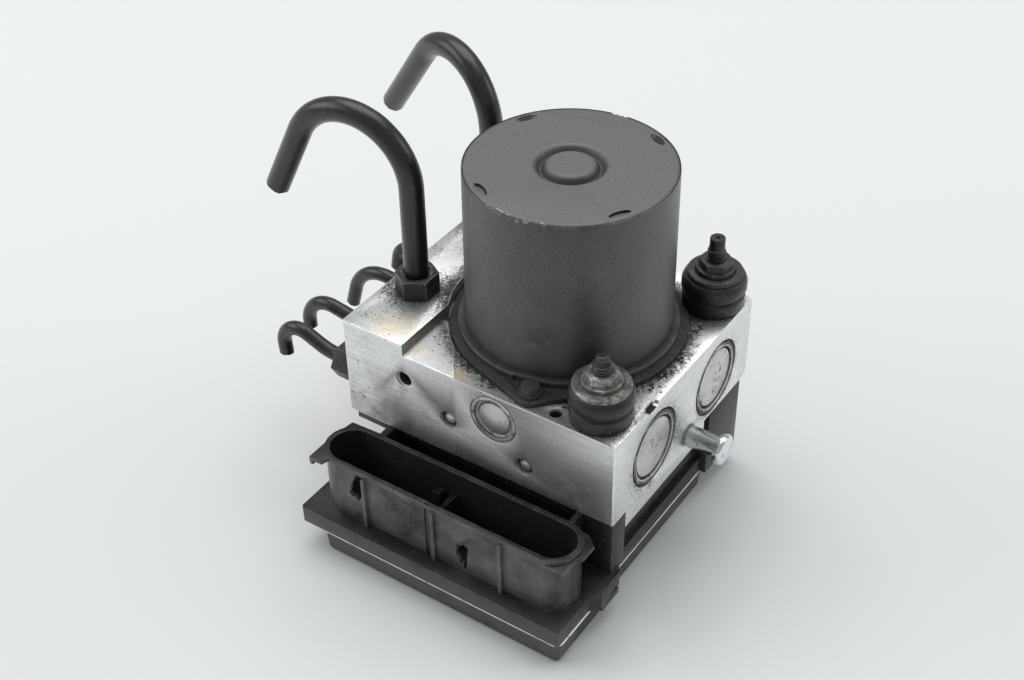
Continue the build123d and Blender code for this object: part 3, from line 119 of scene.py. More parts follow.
def make_specks():
    """Scattered small spots of uneven size; Share is the part of the surface cells that holds one."""
    g, a, b = effect("specks", Scale=400.0, Size=0.25, Share=0.3)
    wobble = node(g, "ShaderNodeTexNoise", [("Vector", a.outputs["Vector"])], Scale=1300.0, Detail=3.0)
    shift = node(g, "ShaderNodeVectorMath", [(0, wobble.outputs["Color"])], p_operation="SCALE", Scale=0.0009)
    moved = node(g, "ShaderNodeVectorMath", [(0, a.outputs["Vector"]), (1, shift.outputs[0])],
                 p_operation="ADD")
    v = node(g, "ShaderNodeTexVoronoi", [("Vector", moved.outputs[0]), ("Scale", a.outputs["Scale"])])
    split = node(g, "ShaderNodeSeparateColor", [(0, v.outputs["Color"])])
    chosen = node(g, "ShaderNodeMath", [(0, split.outputs[0]), (1, a.outputs["Share"])],
                  p_operation="LESS_THAN")
    size = node(g, "ShaderNodeMath", [(0, a.outputs["Size"]), (1, split.outputs[1])], p_operation="MULTIPLY")
    soft = node(g, "ShaderNodeMath", [(0, size.outputs[0])], p_operation="MULTIPLY", i1=0.6)
    near = node(g, "ShaderNodeMapRange", [("Value", v.outputs["Distance"]), ("From Min", soft.outputs[0]),
                                          ("From Max", size.outputs[0])], To_Min=1.0, To_Max=0.0)
    out = node(g, "ShaderNodeMath", [(0, near.outputs["Result"]), (1, chosen.outputs[0])],
               p_operation="MULTIPLY")
    g.links.new(out.outputs[0], b.inputs["Mask"])
    return g


def make_grime():
    """Fine irregular dirt: sparse flecks where Amount is 0, a closed coat where it is 1."""
    g, a, b = effect("grime", Scale=1200.0, Amount=0.2)
    n = node(g, "ShaderNodeTexNoise", [("Vector", a.outputs["Vector"]), ("Scale", a.outputs["Scale"])],
             Detail=5.0, Roughness=0.68)
    more = node(g, "ShaderNodeMath", [(0, a.outputs["Amount"]), (2, n.outputs["Fac"])],
                p_operation="MULTIPLY_ADD", i1=0.32)
    m = node(g, "ShaderNodeMapRange", [("Value", more.outputs[0])], From_Min=0.66, From_Max=0.73)
    g.links.new(m.outputs["Result"], b.inputs["Mask"])
    return g


def make_edge_wear():
    """White along outer edges, broken up by noise."""
    g, a, b = effect("edge wear", Radius=0.0006, Break=0.5, Scale=300.0)
    rounded = node(g, "ShaderNodeBevel", [("Radius", a.outputs["Radius"])], p_samples=6)
    geo = node(g, "ShaderNodeNewGeometry")
    dot = node(g, "ShaderNodeVectorMath", [(0, rounded.outputs[0]), (1, geo.outputs["Normal"])],
               p_operation="DOT_PRODUCT")
    edge = node(g, "ShaderNodeMapRange", [("Value", dot.outputs["Value"])], From_Min=0.995, From_Max=0.9)
    n = node(g, "ShaderNodeTexNoise", [("Vector", a.outputs["Vector"]), ("Scale", a.outputs["Scale"])],
             Detail=5.0)
    cut = node(g, "ShaderNodeMapRange", [("Value", n.outputs["Fac"]), ("From Min", a.outputs["Break"])],
               From_Max=0.62)
    out = node(g, "ShaderNodeMath", [(0, edge.outputs["Result"]), (1, cut.outputs["Result"])],
               p_operation="MULTIPLY")
    g.links.new(out.outputs[0], b.inputs["Mask"])
    return g


def make_crevice_dirt_and_shade():
    """White in corners and under overhangs: where dirt gathers, and where shade is painted."""
    g, a, b = effect("crevice dirt and shade", Reach=0.006, From=0.75, To=0.35)
    ao = node(g, "ShaderNodeAmbientOcclusion", [("Distance", a.outputs["Reach"])], p_samples=8)
    n = node(g, "ShaderNodeTexNoise", [("Vector", a.outputs["Vector"])], Scale=250.0, Detail=5.0)
    wob = node(g, "ShaderNodeMath", [(0, n.outputs["Fac"])], p_operation="MULTIPLY_ADD", i1=0.5, i2=-0.25)
    total = node(g, "ShaderNodeMath", [(0, ao.outputs["AO"]), (1, wob.outputs[0])], p_operation="ADD")
    m = node(g, "ShaderNodeMapRange", [("Value", total.outputs[0]), ("From Min", a.outputs["From"]),
                                       ("From Max", a.outputs["To"])])
    g.links.new(m.outputs["Result"], b.inputs["Mask"])
    return g


def make_strokes():
    """Long thin marks along one direction: milling lines, drawing lines."""
    g, a, b = effect("strokes", "Value", Stretch=(1.0, 1.0, 1.0))
    s = node(g, "ShaderNodeVectorMath", [(0, a.outputs["Vector"]), (1, a.outputs["Stretch"])],
             p_operation="MULTIPLY")
    n = node(g, "ShaderNodeTexNoise", [("Vector", s.outputs[0])], Scale=1.0, Detail=4.0, Roughness=0.7)
    g.links.new(n.outputs["Fac"], b.inputs["Value"])
    return g


EFFECTS = {"patches": make_patches(), "specks": make_specks(), "grime": make_grime(),
           "edge": make_edge_wear(), "crevice": make_crevice_dirt_and_shade(), "strokes": make_strokes()}


class Finish:
    """One material being built: a Principled BSDF with layers mixed over its colour, roughness and metal."""

    def __init__(self, name, color, rough, metal=0.0, specular=0.5):
        self.mat = bpy.data.materials.new(name)
        self.mat.use_nodes = True
        self.mat.diffuse_color = (*color, 1.0)
        self.tree = self.mat.node_tree
        self.bsdf = self.tree.nodes["Principled BSDF"]
        for socket, value in (("Base Color", (*color, 1.0)), ("Roughness", rough), ("Metallic", metal),
                              ("Specular IOR Level", specular)):
            self.bsdf.inputs[socket].default_value = value
        self.place = node(self.tree, "ShaderNodeTexCoord")
        self.coord = self.place.outputs["Object"]
        self.held = {}
        self.bump = None

    def use(self, key, **values):
        """Places a shared effect with its own values or masks and returns its output."""
        made = self.tree.nodes.new("ShaderNodeGroup")
        made.node_tree = EFFECTS[key]
        self.tree.links.new(self.coord, made.inputs["Vector"])
        for label, value in values.items():
            if isinstance(value, bpy.types.NodeSocket):
                self.tree.links.new(value, made.inputs[label])
            else:
                made.inputs[label].default_value = value
        return made.outputs[0]

    def patches(self, scale, detail, start, end):
        return self.use("patches", Scale=scale, Detail=detail, From=start, To=end)

    def specks(self, scale, size, share):
        return self.use("specks", Scale=scale, Size=size, Share=share)

    def grime(self, scale, amount):
        return self.use("grime", Scale=scale, Amount=amount)

    def worn_edge(self, radius, broken, scale=300.0):
        return self.use("edge", Radius=radius, Break=broken, Scale=scale)

    def crevice_dirt_and_shade(self, reach, start, end):
        return self.use("crevice", Reach=reach, From=start, To=end)

    def strokes(self, *stretch):
        return self.use("strokes", Stretch=stretch)

    def math(self, operation, a, b=None):
        made = node(self.tree, "ShaderNodeMath", p_operation=operation, p_use_clamp=operation == "ADD")
        for socket, value in ((0, a), (1, b)):
            if isinstance(value, bpy.types.NodeSocket):
                self.tree.links.new(value, made.inputs[socket])
            elif value is not None:
                made.inputs[socket].default_value = value
        return made.outputs[0]

    def times(self, *masks):
        """Product of masks and numbers."""
        out = masks[0]
        for mask in masks[1:]:
            out = self.math("MULTIPLY", out, mask)
        return out

    def plus(self, *masks):
        """Sum of masks and numbers, at most 1."""
        out = masks[0]
        for mask in masks[1:]:
            out = self.math("ADD", out, mask)
        return out

    def invert(self, a):
        return self.math("SUBTRACT", 1.0, a)

    def step(self, value, start, end):
        """Mask rising from 0 to 1 as a value goes from start to end, or falling where end is the smaller."""
        made = node(self.tree, "ShaderNodeMapRange", [("Value", value)], From_Min=start, From_Max=end)
        return made.outputs[0]

    def ramp(self, axis, start, end):
        """Mask rising from 0 to 1 along an axis of the object, from start to end in millimetres."""
        split = node(self.tree, "ShaderNodeSeparateXYZ", [(0, self.coord)])
        return self.step(split.outputs[axis], start * MM, end * MM)

    def facing(self, axis, start, end):
        """Mask of the faces whose normal points along an axis of the object."""
        split = node(self.tree, "ShaderNodeSeparateXYZ", [(0, self.place.outputs["Normal"])])
        return self.step(split.outputs[axis], start, end)

    def away(self, point, axes=(1, 1, 0)):
        """Distance in metres from a point in millimetres, along the chosen axes only."""
        flat = node(self.tree, "ShaderNodeVectorMath", [(0, self.coord)], p_operation="MULTIPLY", i1=axes)
        spot = tuple(p * MM * a for p, a in zip(point, axes))
        return node(self.tree, "ShaderNodeVectorMath", [(0, flat.outputs[0])], p_operation="DISTANCE",
                    i1=spot).outputs["Value"]

    def near(self, point, inner, outer, axes=(1, 1, 0)):
        """Mask that is 1 within inner of a point or line and 0 beyond outer, in millimetres."""
        return self.step(self.away(point, axes), outer * MM, inner * MM)

    def ring(self, point, radius, half, axes=(1, 1, 0)):
        """Mask of a thin ring round a point, half its width either side of the radius, in millimetres."""
        off = self.math("ABSOLUTE", self.math("SUBTRACT", self.away(point, axes), radius * MM))
        return self.step(off, half * MM, half * 0.4 * MM)

    def layer(self, mask, color=None, rough=None, metal=None, cover=1.0):
        """Lays a colour, roughness and metal over what is there, by the mask and at most by cover."""
        if cover < 1.0:
            mask = self.times(mask, cover)
        if color is not None:
            self.mix("Base Color", mask, (*color, 1.0), "RGBA", (6, 7, 2))
        for socket, number in (("Roughness", rough), ("Metallic", metal)):
            if number is not None:
                self.mix(socket, mask, number, "FLOAT", (2, 3, 0))
        return self

    def mix(self, socket, mask, value, kind, slots):
        below, above, out = slots
        made = node(self.tree, "ShaderNodeMix", p_data_type=kind)
        if socket in self.held:
            self.tree.links.new(self.held[socket], made.inputs[below])
        else:
            made.inputs[below].default_value = self.bsdf.inputs[socket].default_value
        made.inputs[above].default_value = value
        self.tree.links.new(mask, made.inputs[0])
        self.held[socket] = made.outputs[out]

    def relief(self, height, distance, strength=1.0):
        """Adds a bump from a height mask."""
        made = node(self.tree, "ShaderNodeBump", Strength=strength, Distance=distance * MM)
        self.tree.links.new(height, made.inputs["Height"])
        if self.bump is not None:
            self.tree.links.new(self.bump, made.inputs["Normal"])
        self.bump = made.outputs[0]
        return self

    def done(self):
        for socket, output in self.held.items():
            self.tree.links.new(output, self.bsdf.inputs[socket])
        if self.bump is not None:
            self.tree.links.new(self.bump, self.bsdf.inputs["Normal"])
        return self.mat


# ------------------------------------------------------------------ finishes
# near black: the colour of dirt, and of painted shade in corners and grooves
BLACK_DIRT_AND_SHADE = (0.022, 0.020, 0.018)
SIDE, END = (0, 1, 1), (1, 0, 1)      # distances from a line along X, and from one along Y
CAKE_SHIFT = 8.5                      # from a cap's centre to the middle of its dirty side


def milled_aluminium():
    f = Finish("milled aluminium, stained", (0.64, 0.645, 0.635), 0.42, 1.0)
    deck = f.facing(2, 0.6, 0.9)
    front = f.facing(1, -0.6, -0.9)
    right = f.facing(0, 0.6, 0.9)
    along = f.strokes(14.0, 900.0, 900.0)
    across = f.strokes(900.0, 20.0, 500.0)
    # dull and bright areas left by storage and handling
    f.layer(f.patches(30.0, 6.0, 0.40, 0.66), (0.53, 0.53, 0.515), 0.52, cover=0.8)
    f.layer(f.patches(75.0, 8.0, 0.53, 0.70), (0.78, 0.785, 0.785), 0.33, cover=0.45)
    f.layer(f.patches(1500.0, 4.0, 0.46, 0.62), (0.40, 0.40, 0.39), 0.5, cover=0.4)
    f.layer(f.times(f.step(along, 0.50, 0.72), front), (0.40, 0.40, 0.395), cover=0.5)
    f.layer(f.times(f.step(along, 0.46, 0.28), front), (0.78, 0.79, 0.79), 0.34, cover=0.45)
    f.layer(f.times(f.step(across, 0.52, 0.70), right), (0.46, 0.46, 0.45), cover=0.35)
    # yellowed oil stains on the pad and deck
    for spot, inner, outer in (((-40.5, -34.2, 0), 3.0, 8.0), ((-12.6, -37.6, 0), 1.6, 4.6),
                               ((-31.0, -36.5, 0), 0.5, 4.0)):
        yellow = f.times(f.near(spot, inner, outer), f.patches(230.0, 5.0, 0.34, 0.58), deck)
        f.layer(yellow, (0.66, 0.54, 0.33), 0.48, 0.6, cover=0.8)
    # fine black grit, thick near the fittings, the motor foot and on the left and lower faces
    foot = f.times(f.near((0, 0, 0), 36.0, 42.5), deck)
    nuts = f.times(f.plus(f.near((*INLETS[0], 0), 5.5, 15.0), f.near((*INLETS[1], 0), 5.5, 17.0)), deck)
    bushes = f.times(f.plus(*(f.near((*bush, 0), 9.0, 15.0) for bush in BUSHES)), deck)
    low = f.times(f.invert(f.ramp(2, DECK_MM - 30, DECK_MM - 14)), f.patches(60.0, 5.0, 0.42, 0.60))
    left = f.times(f.invert(f.ramp(0, -52, -18)), f.patches(95.0, 5.0, 0.42, 0.62))
    caps = f.plus(f.near((0, CAP_CENTRES[0], CAP_HEIGHT), 12.6, 17.5, SIDE),
                  f.near((0, CAP_CENTRES[1], CAP_HEIGHT), 12.6, 16.0, SIDE))
    caps = f.times(caps, right)
    where = f.plus(*(f.times(place, amount) for place, amount in (
        (foot, 0.60), (nuts, 0.40), (bushes, 0.38), (low, 0.42), (left, 0.36), (caps, 0.42), (deck, 0.13))))
    f.layer(f.grime(2300.0, where), (0.045, 0.043, 0.040), 0.65, 0.2, cover=0.8)
    f.layer(f.grime(900.0, f.times(where, 0.8)), BLACK_DIRT_AND_SHADE, 0.7, 0.1, cover=0.85)
    f.layer(f.specks(300.0, 0.16, 0.06), BLACK_DIRT_AND_SHADE, 0.6, 0.2, cover=0.8)
    # smudges on the front face, and a painted reflection of the dark connector below the pads and towards the
    # lower edge
    smudge_and_reflection = f.times(front, f.plus(f.times(f.near((-38.0, 0, DECK_MM - 23), 4.0, 17.0, (1, 0, 1)), 0.9),
                                  f.times(f.invert(f.ramp(2, DECK_MM - 31, DECK_MM - 15)), 0.65)))
    smudge_and_reflection = f.times(smudge_and_reflection, f.patches(55.0, 9.0, 0.40, 0.66))
    f.layer(smudge_and_reflection, (0.125, 0.122, 0.118), 0.5, 0.6, cover=0.9)
    f.layer(f.times(smudge_and_reflection, f.patches(400.0, 6.0, 0.50, 0.60)), BLACK_DIRT_AND_SHADE, 0.7, 0.1, cover=0.8)
    # caked black dirt close round the motor foot
    cake = f.times(f.near((0, 0, 0), 36.0, 40.5), f.patches(420.0, 7.0, 0.42, 0.52), deck)
    f.layer(cake, BLACK_DIRT_AND_SHADE, 0.75, 0.0, cover=0.95)
    # painted shade: corners and places under overhangs are darkened with the near-black grit colour
    f.layer(f.crevice_dirt_and_shade(0.0035, 0.62, 0.3), BLACK_DIRT_AND_SHADE, 0.7, 0.1, cover=0.9)
    # painted shade, near black, deep in the nick in the right face's edge, in the blind hole by the front
    # bush and in the thread
    nick_shade = f.times(f.near((0, -20.6, 0), 1.7, 2.5, (0, 1, 0)), f.ramp(0, RIGHT_MM - 1.7, RIGHT_MM - 1.3),
                   f.ramp(2, DECK_MM - 1.7, DECK_MM - 1.4))
    thread_hole_shade = f.times(f.near((FIXING_HOLE[0], 0, FIXING_HOLE[1]), 2.8, 3.1, END),
                          f.ramp(1, FRONT_MM + 0.3, FRONT_MM + 1.6),
                          f.invert(f.ramp(1, FRONT_MM + 11.5, FRONT_MM + 12.5)))
    blind_hole_shade = f.times(f.near((*BLIND_HOLE, 0), 2.3, 2.6), f.ramp(2, DECK_MM - 12, DECK_MM - 11.5),
                         f.invert(f.ramp(2, DECK_MM - 1.2, DECK_MM - 0.2)))
    wire_edge = f.worn_edge(0.0006, 0.22)
    f.layer(wire_edge, (0.88, 0.89, 0.89), 0.24, 1.0, cover=0.9)
    hole_shade = f.math("MAXIMUM", f.math("MAXIMUM", nick_shade, thread_hole_shade), blind_hole_shade)
    f.layer(hole_shade, (0.007, 0.007, 0.006), 0.8, 0.0)
    f.relief(along, 0.035, 0.6).relief(across, 0.025, 0.4)
    f.relief(f.patches(900.0, 4.0, 0.3, 0.8), 0.04, 0.5)
    return f.done()


def turned_aluminium(name="turned aluminium, dull", tint=(0.50, 0.50, 0.49), rings=(), caked=()):
    f = Finish(name, tint, 0.44, 1.0)
    f.layer(f.patches(140.0, 7.0, 0.40, 0.66), (0.43, 0.43, 0.415), 0.52)
    where = f.patches(110.0, 7.0, 0.40, 0.62)
    f.layer(f.grime(1300.0, f.times(where, 0.46)), BLACK_DIRT_AND_SHADE, 0.6, 0.1, cover=0.85)
    f.layer(f.grime(420.0, f.times(where, 0.36)), BLACK_DIRT_AND_SHADE, 0.6, 0.1, cover=0.85)
    # painted shade in the turned grooves: dark rings, broken up in patches
    for point, radius, half, axes in rings:
        line = f.times(f.ring(point, radius, half, axes), f.patches(210.0, 6.0, 0.34, 0.50))
        f.layer(line, BLACK_DIRT_AND_SHADE, 0.7, 0.05, cover=0.9)
    for centre in caked:
        # one side of the ring, up and to the back, is thick with black dirt
        side = tuple(c + CAKE_SHIFT * a for c, a in zip(centre, SIDE))
        cake = f.times(f.near(side, 4.0, 11.0, SIDE), f.ring(centre, 12.1, 1.5, SIDE))
        f.layer(cake, (0.010, 0.009, 0.009), 0.5, 0.05, cover=0.97)
    # painted shade in corners and under overhangs
    f.layer(f.crevice_dirt_and_shade(0.0022, 0.85, 0.45), BLACK_DIRT_AND_SHADE, 0.7, 0.05, cover=0.95)
    f.layer(f.worn_edge(0.00035, 0.28), (0.84, 0.84, 0.83), 0.22, cover=0.9)
    f.relief(f.patches(1100.0, 4.0, 0.3, 0.8), 0.04, 0.5)
    f.relief(f.patches(260.0, 3.0, 0.2, 0.8), 0.10, 0.4)
    return f.done()


def motor_finish():
    f = Finish("dark grey matt steel, speckled", (0.078, 0.079, 0.081), 0.42, 0.72)
    top = f.facing(2, 0.5, 0.9)
    # painted light from above: the top is lighter than the side; it is also rougher and less metallic
    f.layer(top, (0.108, 0.109, 0.110), 0.54, 0.30, cover=0.85)
    f.layer(f.patches(40.0, 9.0, 0.38, 0.70), (0.100, 0.100, 0.098), 0.54, cover=0.8)
    f.layer(f.patches(1800.0, 3.0, 0.48, 0.66), (0.150, 0.150, 0.147), 0.6, cover=0.32)
    f.layer(f.patches(1500.0, 3.0, 0.50, 0.36), (0.035, 0.035, 0.036), 0.6, cover=0.35)
    f.layer(f.specks(420.0, 0.22, 0.10), (0.030, 0.030, 0.030), 0.6, cover=0.7)
    f.layer(f.specks(430.0, 0.18, 0.08), (0.26, 0.26, 0.25), 0.6, cover=0.6)
    # painted shade: the middle of the side, turned to the front corner, is darker
    front_side_shade = f.times(f.near((17.5, -27.5, 0), 4.0, 24.0), f.patches(70.0, 8.0, 0.26, 0.60), f.invert(top))
    f.layer(front_side_shade, (0.046, 0.044, 0.042), 0.50, cover=0.62)
    # soot and brown dust rising from the foot
    foot = f.invert(f.ramp(2, DECK_MM + 3, DECK_MM + 22))
    f.layer(f.times(foot, f.patches(120.0, 7.0, 0.34, 0.62)), (0.044, 0.041, 0.038), 0.66, 0.2, cover=0.6)
    rim = f.invert(f.ramp(2, DECK_MM + 4.6, DECK_MM + 6.5))
    f.layer(f.times(rim, f.patches(200.0, 7.0, 0.30, 0.58)), (0.016, 0.015, 0.014), 0.55, 0.1, cover=0.9)
    soot = f.times(f.near((9.5, -29.7, DECK_MM + 15), 1.0, 11.0, (1, 1, 1)),
                   f.patches(170.0, 7.0, 0.36, 0.58))
    f.layer(soot, (0.016, 0.014, 0.012), 0.7, 0.0, cover=0.85)
    brown = f.times(f.near((-18.0, -25.4, DECK_MM + 14), 2.0, 16.0, (1, 1, 1)),
                    f.patches(140.0, 8.0, 0.40, 0.66))
    f.layer(brown, (0.125, 0.104, 0.084), 0.72, 0.1, cover=0.55)
    warm = f.times(f.invert(f.ramp(2, CAN_TOP_MM - 30, CAN_TOP_MM - 6)), f.patches(60.0, 8.0, 0.44, 0.66))
    f.layer(warm, (0.100, 0.088, 0.076), 0.6, cover=0.30)
    # paint chipped off along the front of the top edge
    front = f.times(f.near((1.5, -30.5, 0), 6.0, 15.0), f.ramp(2, CAN_TOP_MM - 1.5, CAN_TOP_MM - 0.7),
                    f.step(f.away((0, 0, 0)), 0.0297, 0.0301))
    chips = f.times(front, f.patches(620.0, 3.0, 0.55, 0.60))
    f.layer(chips, (0.33, 0.32, 0.31), 0.45, 0.6, cover=0.6)
    f.layer(f.worn_edge(0.0009, 0.45, 180.0), (0.20, 0.20, 0.195), 0.4, 0.6, cover=0.4)
    # painted shade in corners and under overhangs
    f.layer(f.crevice_dirt_and_shade(0.0035, 0.86, 0.45), (0.012, 0.012, 0.012), 0.7, 0.0, cover=0.9)
    # painted shade in the groove round the centre disc, and in the two far crimp dimples
    groove_shade = f.times(f.ring((0, 0, 0), 8.7, 1.9), f.invert(f.ramp(2, CAN_TOP_MM - 1.1, CAN_TOP_MM - 0.5)),
                     f.ramp(2, CAN_TOP_MM - 3, CAN_TOP_MM - 2.8))
    f.layer(groove_shade, (0.022, 0.022, 0.022), 0.6, 0.2, cover=0.6)
    for turn in FAR_CRIMPS:
        spot = (CRIMP_REACH * math.cos(math.radians(turn)), CRIMP_REACH * math.sin(math.radians(turn)), 0)
        held = f.times(f.near(spot, 1.9, 3.2), f.ramp(2, CAN_TOP_MM - 1.2, CAN_TOP_MM - 0.9),
                       f.invert(f.ramp(2, CAN_TOP_MM - 0.12, CAN_TOP_MM - 0.03)))
        f.layer(held, (0.008, 0.008, 0.008), 0.8, 0.0, cover=0.95)
    # the deep-drawn wall shows faint upright drawing lines
    f.relief(f.strokes(1400.0, 1400.0, 14.0), 0.010, 0.4)
    f.relief(f.patches(2200.0, 3.0, 0.3, 0.7), 0.03, 0.6)
    f.relief(f.patches(70.0, 3.0, 0.2, 0.8), 0.12, 0.4)
    return f.done()


def moulded_plastic():
    f = Finish("black moulded plastic, dusty", (0.0085, 0.0085, 0.009), 0.37, 0.0, 0.27)
    up = f.facing(2, 0.5, 0.9)
    f.layer(f.patches(38.0, 8.0, 0.40, 0.74), (0.020, 0.020, 0.021), 0.46, cover=0.6)
    f.layer(f.patches(260.0, 8.0, 0.56, 0.74), (0.048, 0.048, 0.047), 0.6, cover=0.35)
    outer = f.times(f.invert(f.ramp(1, -60.0, -58.0)), f.patches(90.0, 6.0, 0.30, 0.66))
    f.layer(f.times(outer, f.invert(up)), (0.118, 0.119, 0.120), 0.44, cover=0.9)
    # painted shade: the front wall darkens towards the flange at its foot
    foot = f.times(outer, f.invert(f.ramp(2, 14.0, 21.0)), f.invert(up))
    f.layer(foot, (0.022, 0.022, 0.023), 0.5, cover=0.65)
    # deep inside the connector and between the walls nothing is lit or dusty
    deep = f.crevice_dirt_and_shade(0.020, 0.42, 0.20)
    well = f.times(f.near((0, CONNECTOR_Y, 0), 6.95, 7.15, (0, 1, 0)),
                   f.ramp(0, CONNECTOR_ENDS[0] - 0.1, CONNECTOR_ENDS[0] + 0.1),
                   f.invert(f.ramp(0, CONNECTOR_ENDS[1] - 0.1, CONNECTOR_ENDS[1] + 0.1)))
    for end in CONNECTOR_ENDS:
        well = f.math("MAXIMUM", well, f.near((end, CONNECTOR_Y, 0), 6.95, 7.15))
    well = f.times(well, f.invert(f.ramp(2, 34.3, 35.1)), f.ramp(2, 14.0, 15.0))
    deep = f.math("MAXIMUM", deep, well)
    f.layer(deep, (0.0022, 0.0022, 0.0022), 0.95, cover=0.97)
    f.layer(f.specks(1100.0, 0.55, f.times(f.invert(deep), 0.10)), (0.10, 0.096, 0.09), 0.8, cover=0.45)
    f.layer(f.specks(320.0, 0.18, f.times(f.invert(deep), 0.025)), (0.20, 0.19, 0.175), 0.8, cover=0.7)
    scuffs = f.times(f.strokes(60.0, 900.0, 900.0), f.patches(70.0, 4.0, 0.52, 0.66))
    f.layer(f.times(scuffs, up), (0.10, 0.10, 0.10), 0.6, cover=0.4)
    # round ejector mark moulded into the connector's front wall
    mark = f.times(f.ring((-16.6, 0, DECK_MM - 29.2), 3.9, 0.22, (1, 0, 1)),
                   f.invert(f.ramp(1, -61.0, -60.0)))
    f.layer(mark, (0.004, 0.004, 0.004), 0.5, cover=0.8)
    f.layer(f.worn_edge(0.0005, 0.40), (0.12, 0.12, 0.12), 0.34, cover=0.6)
    f.relief(mark, 0.15, 0.7)
    f.relief(f.patches(2400.0, 2.0, 0.3, 0.7), 0.03, 0.5)
    f.relief(f.patches(40.0, 2.0, 0.2, 0.8), 0.25, 0.35)
    return f.done()


def bush_rubber():
    f = Finish("black rubber, dusty in the grooves", (0.006, 0.006, 0.0065), 0.38, 0.0, 0.38)
    f.layer(f.patches(150.0, 7.0, 0.46, 0.74), (0.018, 0.017, 0.017), 0.50, cover=0.5)
    dust = f.times(f.facing(2, 0.5, 0.95), f.patches(240.0, 7.0, 0.42, 0.64))
    f.layer(dust, (0.050, 0.046, 0.042), 0.75, cover=0.7)
    f.layer(f.specks(1200.0, 0.55, 0.14), (0.12, 0.11, 0.10), 0.8, cover=0.55)
    f.layer(f.crevice_dirt_and_shade(0.0016, 0.8, 0.4), (0.040, 0.036, 0.032), 0.8, cover=0.35)
    f.relief(f.patches(420.0, 5.0, 0.3, 0.7), 0.16, 0.7)
    return f.done()


def pipe_coating():
    f = Finish("blue-black pipe coating", (0.0066, 0.0072, 0.0086), 0.30, 0.0, 0.44)
    f.layer(f.patches(100.0, 7.0, 0.48, 0.72), (0.020, 0.021, 0.024), 0.42, cover=0.5)
    f.layer(f.specks(700.0, 0.25, 0.06), (0.11, 0.10, 0.095), 0.7, cover=0.6)
    f.layer(f.patches(300.0, 4.0, 0.68, 0.72), (0.09, 0.078, 0.066), 0.6, cover=0.6)
    f.relief(f.patches(400.0, 4.0, 0.3, 0.7), 0.05, 0.6)
    return f.done()


def corroded_steel():
    f = Finish("dark corroded steel", (0.050, 0.048, 0.046), 0.44, 0.75)
    f.layer(f.patches(300.0, 8.0, 0.42, 0.62), (0.022, 0.020, 0.018), 0.68, 0.2)
    f.layer(f.patches(420.0, 8.0, 0.58, 0.68), (0.085, 0.064, 0.048), 0.8, 0.0, cover=0.45)
    f.layer(f.grime(1100.0, 0.12), (0.17, 0.16, 0.145), 0.7, 0.2, cover=0.6)
    f.layer(f.worn_edge(0.0005, 0.28), (0.46, 0.45, 0.43), 0.32, 0.9, cover=0.9)
    f.relief(f.patches(900.0, 6.0, 0.3, 0.7), 0.1, 0.8)
    return f.done()


def worn_steel():
    f = Finish("dirty worn steel", (0.30, 0.30, 0.285), 0.36, 1.0)
    f.layer(f.patches(240.0, 8.0, 0.40, 0.58), (0.085, 0.078, 0.068), 0.60, 0.4)
    where = f.patches(260.0, 6.0, 0.40, 0.62)
    f.layer(f.specks(1300.0, 0.7, f.times(where, 0.7)), BLACK_DIRT_AND_SHADE, 0.7, 0.1, cover=0.85)
    f.layer(f.specks(800.0, 0.5, 0.12), (0.42, 0.40, 0.36), 0.6, 0.3, cover=0.7)
    # painted shade in corners and under overhangs
    f.layer(f.crevice_dirt_and_shade(0.0022, 0.82, 0.42), BLACK_DIRT_AND_SHADE, 0.8, 0.0, cover=0.9)
    f.layer(f.worn_edge(0.0004, 0.28), (0.60, 0.60, 0.57), 0.28, 1.0, cover=0.75)
    # the rear bush's washer and nut are black with oily dirt
    rear = f.ramp(1, 0.0, 10.0)
    f.layer(rear, (0.017, 0.016, 0.015), 0.45, 0.3, cover=0.93)
    f.layer(f.times(rear, f.specks(700.0, 0.5, 0.25)), (0.12, 0.11, 0.095), 0.7, 0.1, cover=0.6)
    f.relief(f.patches(900.0, 5.0, 0.3, 0.7), 0.08, 0.7)
    return f.done()


def stud_steel():
    f = Finish("dark phosphated stud", (0.060, 0.058, 0.056), 0.40, 0.8)
    f.layer(f.patches(350.0, 7.0, 0.42, 0.62), (0.022, 0.020, 0.019), 0.6, 0.3)
    # painted shade in corners and under overhangs
    f.layer(f.crevice_dirt_and_shade(0.0006, 0.85, 0.45), BLACK_DIRT_AND_SHADE, 0.7, 0.0, cover=0.8)
    f.layer(f.worn_edge(0.00025, 0.34), (0.36, 0.35, 0.33), 0.3, 1.0, cover=0.75)
    f.layer(f.ramp(1, 0.0, 10.0), (0.014, 0.013, 0.013), 0.45, 0.4, cover=0.75)
    f.relief(f.patches(1200.0, 4.0, 0.3, 0.7), 0.05, 0.6)
    return f.done()


def plated_steel():
    f = Finish("zinc plated steel", (0.56, 0.59, 0.60), 0.20, 1.0)
    f.layer(f.patches(120.0, 6.0, 0.45, 0.68), (0.40, 0.42, 0.43), 0.32)
    f.layer(f.patches(420.0, 8.0, 0.60, 0.66), (0.14, 0.13, 0.12), 0.5, 0.4, cover=0.7)
    f.layer(f.specks(800.0, 0.5, 0.14), (0.10, 0.09, 0.08), 0.6, 0.3, cover=0.7)
    # painted shade in corners and under overhangs
    f.layer(f.crevice_dirt_and_shade(0.002, 0.8, 0.4), (0.05, 0.045, 0.04), 0.7, 0.1, cover=0.85)
    f.layer(f.worn_edge(0.0004, 0.30), (0.82, 0.83, 0.84), 0.2, 1.0, cover=0.6)
    f.relief(f.strokes(30.0, 700.0, 700.0), 0.03, 0.5)
    return f.done()


